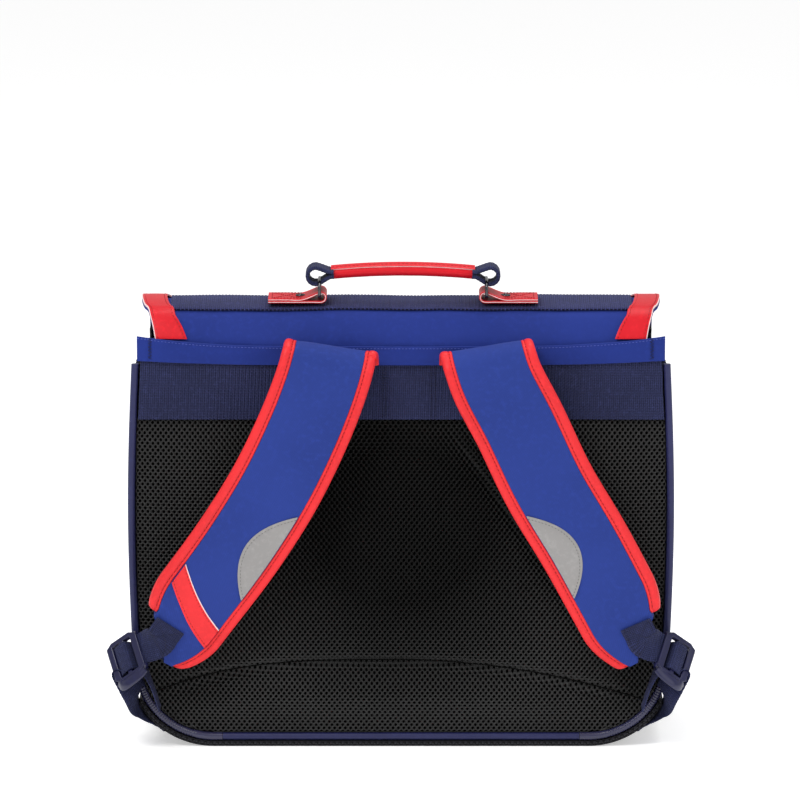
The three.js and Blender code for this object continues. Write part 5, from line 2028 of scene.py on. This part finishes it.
def strap_tab(side, line):
    """Webbing sewn on the strap's end, then round the bar under the buckle's cover and back."""
    frame = buckle_frame(line.sign)
    end = line.end_share(TAB_ASIDE)
    back = TAB_ON_STRAP / line.length
    lift = 5 * CLEARANCE + WEBBING_WALL / 2
    around = 1.5 * CLEARANCE + WEBBING_WALL / 2
    middle = TAB_BAR_TOP + around
    under = -BUCKLE_THICKNESS / 2 - around
    bar_middle = SLOT_START - TAB_BAR_DEPTH / 2
    mouth = -BUCKLE_LENGTH / 2
    points = [
        line.point(end - back, TAB_ASIDE, lift),
        line.point(end - back / 2, TAB_ASIDE, lift),
        line.point(end, TAB_ASIDE, lift),
        in_buckle(frame, mouth - 2, middle),
        in_buckle(frame, mouth + 1, middle),
        in_buckle(frame, bar_middle, middle),
        in_buckle(frame, SLOT_START + around, TAB_BAR_TOP + CLEARANCE / 2),
        in_buckle(frame, SLOT_START + around, -BUCKLE_THICKNESS / 2),
        in_buckle(frame, bar_middle, under),
        in_buckle(frame, mouth + 1, under),
        in_buckle(frame, mouth - 1, under + around),
    ]
    tangent, out = line.frame(end)[1:3]
    on_strap = (out - tangent * TAB_SLANT).normalized()
    sides = [on_strap if i < 3 else frame[1] for i in range(len(points))]
    piece, stations = webbing_strip(points, sides, WEBBING_WIDTH, f"strap_tab_webbing_{side}")
    dress(piece, f"strap_tab_{side}", slot="navy_webbing")
    sewn = [s for s in stations if (s[0] - points[0]).length < TAB_ON_STRAP + 3][2:]
    reach = WEBBING_WIDTH / 2 - 2.5
    normal = line.frame(end)[3]
    face = WEBBING_WALL / 2 + 0.1
    last = len(sewn) - 1
    rising = [s[0] + s[1] * lerp(-reach, reach, i / last) + normal * face for i, s in enumerate(sewn)]
    falling = [s[0] + s[1] * lerp(reach, -reach, i / last) + normal * face for i, s in enumerate(sewn)]
    low = [s[0] + s[1] * -reach + normal * face for s in sewn]
    high = [s[0] + s[1] * reach + normal * face for s in sewn]
    ends = [[s[0] - s[1] * reach + normal * face, s[0] + s[1] * reach + normal * face]
            for s in (sewn[0], sewn[-1])]
    stitched(f"strap_tab_stitches_{side}", [rising, falling, low, high, *ends], navy_thread,
             "navy_webbing", pitch=2.2, length=1.8, size=0.6)


def lock_layer(frame, is_open, low, high):
    """One level of the buckle: its grid of cells without the open ones, with rounded edges."""
    half = BUCKLE_WIDTH / 2
    inner = half - BUCKLE_RAIL
    end = BUCKLE_LENGTH / 2
    end_lift = 0.9
    corner_pull = 0.8
    edge_radius = 0.42 * (high - low)
    columns = [-end, SLOT_START, MIDDLE_START, SECOND_START, END_START, end]
    rows = [-half, -inner, 0, inner, half]
    mesh = bmesh.new()
    corners = {}
    for i, along in enumerate(columns):
        for j, across in enumerate(rows):
            pull = corner_pull if j in (0, 4) and i in (0, 5) else 1.0
            corners[i, j] = mesh.verts.new((along, across * pull, high))
    for i in range(5):
        for j in range(4):
            if not is_open(i, j):
                ring = ((i, j), (i + 1, j), (i + 1, j + 1), (i, j + 1))
                mesh.faces.new([corners[key] for key in ring])
    made = bmesh.ops.extrude_face_region(mesh, geom=list(mesh.faces))["geom"]
    for part in made:
        if isinstance(part, bmesh.types.BMVert):
            part.co.z = low
    bmesh.ops.delete(mesh, geom=[v for v in mesh.verts if not v.link_faces], context="VERTS")
    bmesh.ops.recalc_face_normals(mesh, faces=mesh.faces)
    sharp = [edge for edge in mesh.edges if edge.calc_face_angle(0) > math.radians(30)]
    bmesh.ops.bevel(mesh, geom=sharp, offset=edge_radius, segments=3, profile=0.5, affect="EDGES")

    def place_of(at):
        lift = end_lift * smoothstep(at.x, END_START - 2, end)
        return in_buckle(frame, at.x, at.z + lift, at.y)

    return body_from(mesh, place_of, 1)


def buckle(side, sign):
    """A moulded ladder lock: a cover plate with two windows over its bars, and a lifting rail."""
    frame = buckle_frame(sign)
    flow, bar = frame[:2]
    half = BUCKLE_WIDTH / 2
    end = BUCKLE_LENGTH / 2

    def is_window(i, j):
        return i in (1, 3) and j in (1, 2)

    def is_window_or_mouth(i, j):
        return i in (0, 1, 3) and j in (1, 2)

    body = lock_layer(frame, is_window, COVER_BOTTOM, BUCKLE_THICKNESS / 2)
    body.add(lock_layer(frame, is_window_or_mouth, -BUCKLE_THICKNESS / 2, COVER_BOTTOM + 0.6))
    bar_along = SLOT_START - TAB_BAR_DEPTH / 2
    bar_out = (TAB_BAR_TOP - BUCKLE_THICKNESS / 2) / 2
    reach = half - BUCKLE_RAIL / 2
    tab_bar = SmoothCurve([in_buckle(frame, bar_along, bar_out, across) for across in (-reach, 0, reach)])
    body.add(swept(stations_on(tab_bar, 4.0, lambda t: flow), round_section(TAB_BAR_DEPTH / 2, 14)))
    rail = SmoothCurve([
        in_buckle(frame, SLOT_START - 3, 0.5, -half + 1.0),
        in_buckle(frame, SLOT_START + 2, 1.5, -half - 1.4),
        in_buckle(frame, MIDDLE_START + 2, 2.6, -half - 2.8),
        in_buckle(frame, SECOND_START + 3, 3.0, -half - 3.2),
        in_buckle(frame, END_START + 1, 2.0, -half - 1.8),
        in_buckle(frame, end - 1.5, 0.8, -half + 2.0),
    ])
    stations = stations_on(rail, 1.2, lambda t: bar)
    body.add(swept(stations, round_section(4.2, 18, 0.42)))
    ridge = SmoothCurve([in_buckle(frame, end - 1.2, 1.0, across) for across in (-13, -6, 0, 6, 13)])
    body.add(swept(stations_on(ridge, 2.0, lambda t: flow), round_section(2.5, 14)))
    piece = body.piece(f"ladder_lock_{side}", navy_plastic, smooth_angle=45)
    dress(piece, f"buckle_{side}", slot="navy_plastic")


def adjuster(side, sign):
    """Webbing from the bottom corner up through the buckle, over its middle bar and out again."""
    frame = buckle_frame(sign)
    outer_face = BUCKLE_THICKNESS / 2 + CLEARANCE + WEBBING_WALL / 2
    around = CLEARANCE + WEBBING_WALL / 2
    bevel = around * 0.78
    corner = BUCKLE_THICKNESS / 2 + bevel
    third = BUCKLE_THICKNESS / 3
    seat_radius = SEAT_INSET + CLEARANCE + BASE_SKIN + WEBBING_WALL / 2
    seat_y = BACK_Y + ADJUSTER_SETBACK

    def on_corner(angle, aside=0.0, back=0.0):
        place = beside_rim(corner_station(angle), seat_radius, seat_y)
        return Vector((sign * (place.x + aside), place.y + back, place.z))

    points = [
        on_corner(ADJUSTER_SEAT_ANGLE + 16),
        on_corner(ADJUSTER_SEAT_ANGLE + 8),
        on_corner(ADJUSTER_SEAT_ANGLE + 1, 0.6, -5),
        *[Vector((sign * out, BACK_Y + back, up)) for out, back, up in ADJUSTER_ROUTE],
        in_buckle(frame, END_START + 1.5, -outer_face - 1.5),
        in_buckle(frame, END_START - around, -third),
        in_buckle(frame, END_START - around - 0.6, third),
        in_buckle(frame, SECOND_START + bevel, corner),
        in_buckle(frame, SECOND_START - MIDDLE_BAR / 2, outer_face),
        in_buckle(frame, MIDDLE_START - bevel, corner),
        in_buckle(frame, MIDDLE_START - around - 0.6, third),
        in_buckle(frame, MIDDLE_START - around - 1.8, -third),
        in_buckle(frame, MIDDLE_START - around - 1.6, -outer_face - 1),
        in_buckle(frame, MIDDLE_START, -outer_face - 6),
        Vector((sign * (TAIL_OUT + 6), BACK_Y - TAIL_OFF_BACK, TAIL_UP + 18)),
        Vector((sign * TAIL_OUT, BACK_Y - TAIL_OFF_BACK, TAIL_UP)),
    ]
    last_seat = 2
    tail = len(points) - 2
    sides = [Y if i < last_seat or i >= tail else frame[1] for i in range(len(points))]
    for place, turn in enumerate(ADJUSTER_TURNS, last_seat):
        sides[place] = on_side(turn, sign).normalized()
    piece = webbing_strip(points, sides, WEBBING_WIDTH - 1, f"adjuster_webbing_{side}")[0]
    dress(piece, f"adjuster_{side}", slot="navy_webbing")


# Front closing straps

def rounded_block(low, high, radius):
    """A block between two corners, with rounded edges."""
    mesh = bmesh.new()
    bmesh.ops.create_cube(mesh, size=1)
    for vertex in mesh.verts:
        share = vertex.co + Vector((0.5, 0.5, 0.5))
        vertex.co = Vector([lerp(low[i], high[i], share[i]) for i in range(3)])
    bmesh.ops.bevel(mesh, geom=mesh.edges[:], offset=radius, segments=3, profile=0.5, affect="EDGES")
    return body_from(mesh, Vector.copy, 2)


def closing(side, sign):
    x = sign * CLOSING_OFFSET
    outside = BACK_Y + FLAP_DEPTH + CLEARANCE
    half = CLOSING_WIDTH / 2
    strap = rounded_block(
        (x - half, outside, CLOSING_BOTTOM), (x + half, outside + CLOSING_WALL, CLOSING_TOP), 0.6)
    dress(strap.piece(f"closing_leather_{side}", red_leather), f"closing_strap_{side}", slot="red_leather")
    inset = half - 2.5
    face = outside + CLOSING_WALL + 0.1
    corners = [(-inset, CLOSING_BOTTOM + 3), (-inset, CLOSING_TOP - 3), (inset, CLOSING_TOP - 3),
               (inset, CLOSING_BOTTOM + 3), (-inset, CLOSING_BOTTOM + 3)]
    seam = [Vector((x + dx, face, z)) for dx, z in corners]
    stitched(f"closing_stitches_{side}", [seam], red_thread, "red_leather")
    low = CLASP_TOP - CLASP_HEIGHT
    reach = CLASP_WIDTH / 2
    seats = []
    for z in (low, CLASP_TOP):
        seats += [front_surface_y(x + dx, z) for dx in (-reach, 0, reach)]
    clasp = rounded_block(
        (x - reach, max(seats) + CLEARANCE, low), (x + reach, outside - CLEARANCE, CLASP_TOP), 1.2)
    dress(clasp.piece(f"clasp_block_{side}", gunmetal), f"clasp_{side}", slot="dark_metal")


# Studio

def camera():
    data = bpy.data.cameras.new("camera")
    data.sensor_width = SENSOR
    view_width = PHOTO_SIDE * PIXEL * MM
    data.lens = SENSOR * CAMERA_DISTANCE / view_width
    data.clip_end = CAMERA_CLIP_END
    piece = placed("camera", data)
    angle = math.radians(CAMERA_ELEVATION)
    middle = PHOTO_SIDE / 2
    x = (middle - PHOTO_CENTRE_X) * PIXEL
    z = (PHOTO_BASE_Y - middle) * PIXEL / math.cos(angle)
    aim = Vector((x, BACK_Y, z)) * MM
    piece.location = aim + Vector((0, -math.cos(angle), math.sin(angle))) * CAMERA_DISTANCE
    piece.rotation_euler = (math.pi / 2 - angle, 0, 0)
    bpy.context.scene.camera = piece


def floor():
    mesh = bpy.data.meshes.new("floor")
    reach = 14
    corners = [(-reach, -reach, 0), (reach, -reach, 0), (reach, reach, 0), (-reach, reach, 0)]
    mesh.from_pydata(corners, [], [(0, 1, 2, 3)])
    material = bpy.data.materials.new("pale_floor")
    material.use_nodes = True
    surface = material.node_tree.nodes["Principled BSDF"]
    surface.inputs["Base Color"].default_value = (0.93, 0.93, 0.93, 1)
    surface.inputs["Roughness"].default_value = 0.9
    surface.inputs["Emission Color"].default_value = (1, 1, 1, 1)
    surface.inputs["Emission Strength"].default_value = FLOOR_GLOW
    mesh.materials.append(material)
    piece = placed("floor", mesh)


def area_light(name, place, target, size, power):
    data = bpy.data.lights.new(name, "AREA")
    data.size = size
    data.energy = power
    light = placed(name, data)
    light.location = place
    aim = Vector(target) - Vector(place)
    light.rotation_euler = aim.to_track_quat("-Z", "Y").to_euler()


def studio():
    world = bpy.data.worlds.new("studio")
    world.use_nodes = True
    background = world.node_tree.nodes["Background"]
    background.inputs["Color"].default_value = (1, 1, 1, 1)
    background.inputs["Strength"].default_value = WORLD_LIGHT
    bpy.context.scene.world = world
    bpy.context.scene.view_settings.view_transform = "Standard"
    middle = (0, 0, 0.2)
    area_light("key", (-1.0, -1.5, 2.1), middle, 0.9, 34)
    area_light("fill", (1.8, -1.4, 1.0), middle, 1.6, 9)
    area_light("top", (0.2, 0.3, 2.3), middle, 1.2, 22)


camera()
floor()
studio()
padded_back()
back_webbing()
hem_band()
base()
front_panel()
pipings()
flap()
top_webbing()
handle_grip()
for side, sign in SIDES:
    side_gusset(side, sign)
    top_gusset(side, sign)
    flap_trim(side, sign)
    handle_tab(side, sign)
    handle_rivet(side, sign)
    handle_ring(side, sign)
    handle_loop(side, sign)
    line = StrapLine(side, sign)
    strap_pad(side, line)
    grooves = [strap_binding(side, line, "outer", 1), strap_binding(side, line, "inner", -1)]
    stitched(f"binding_stitches_{side}", grooves, red_thread, "red_leather", size=0.55)
    reflector(side, line)
    if side == "left":
        strap_strip(line)
    strap_tab(side, line)
    buckle(side, sign)
    adjuster(side, sign)
    closing(side, sign)
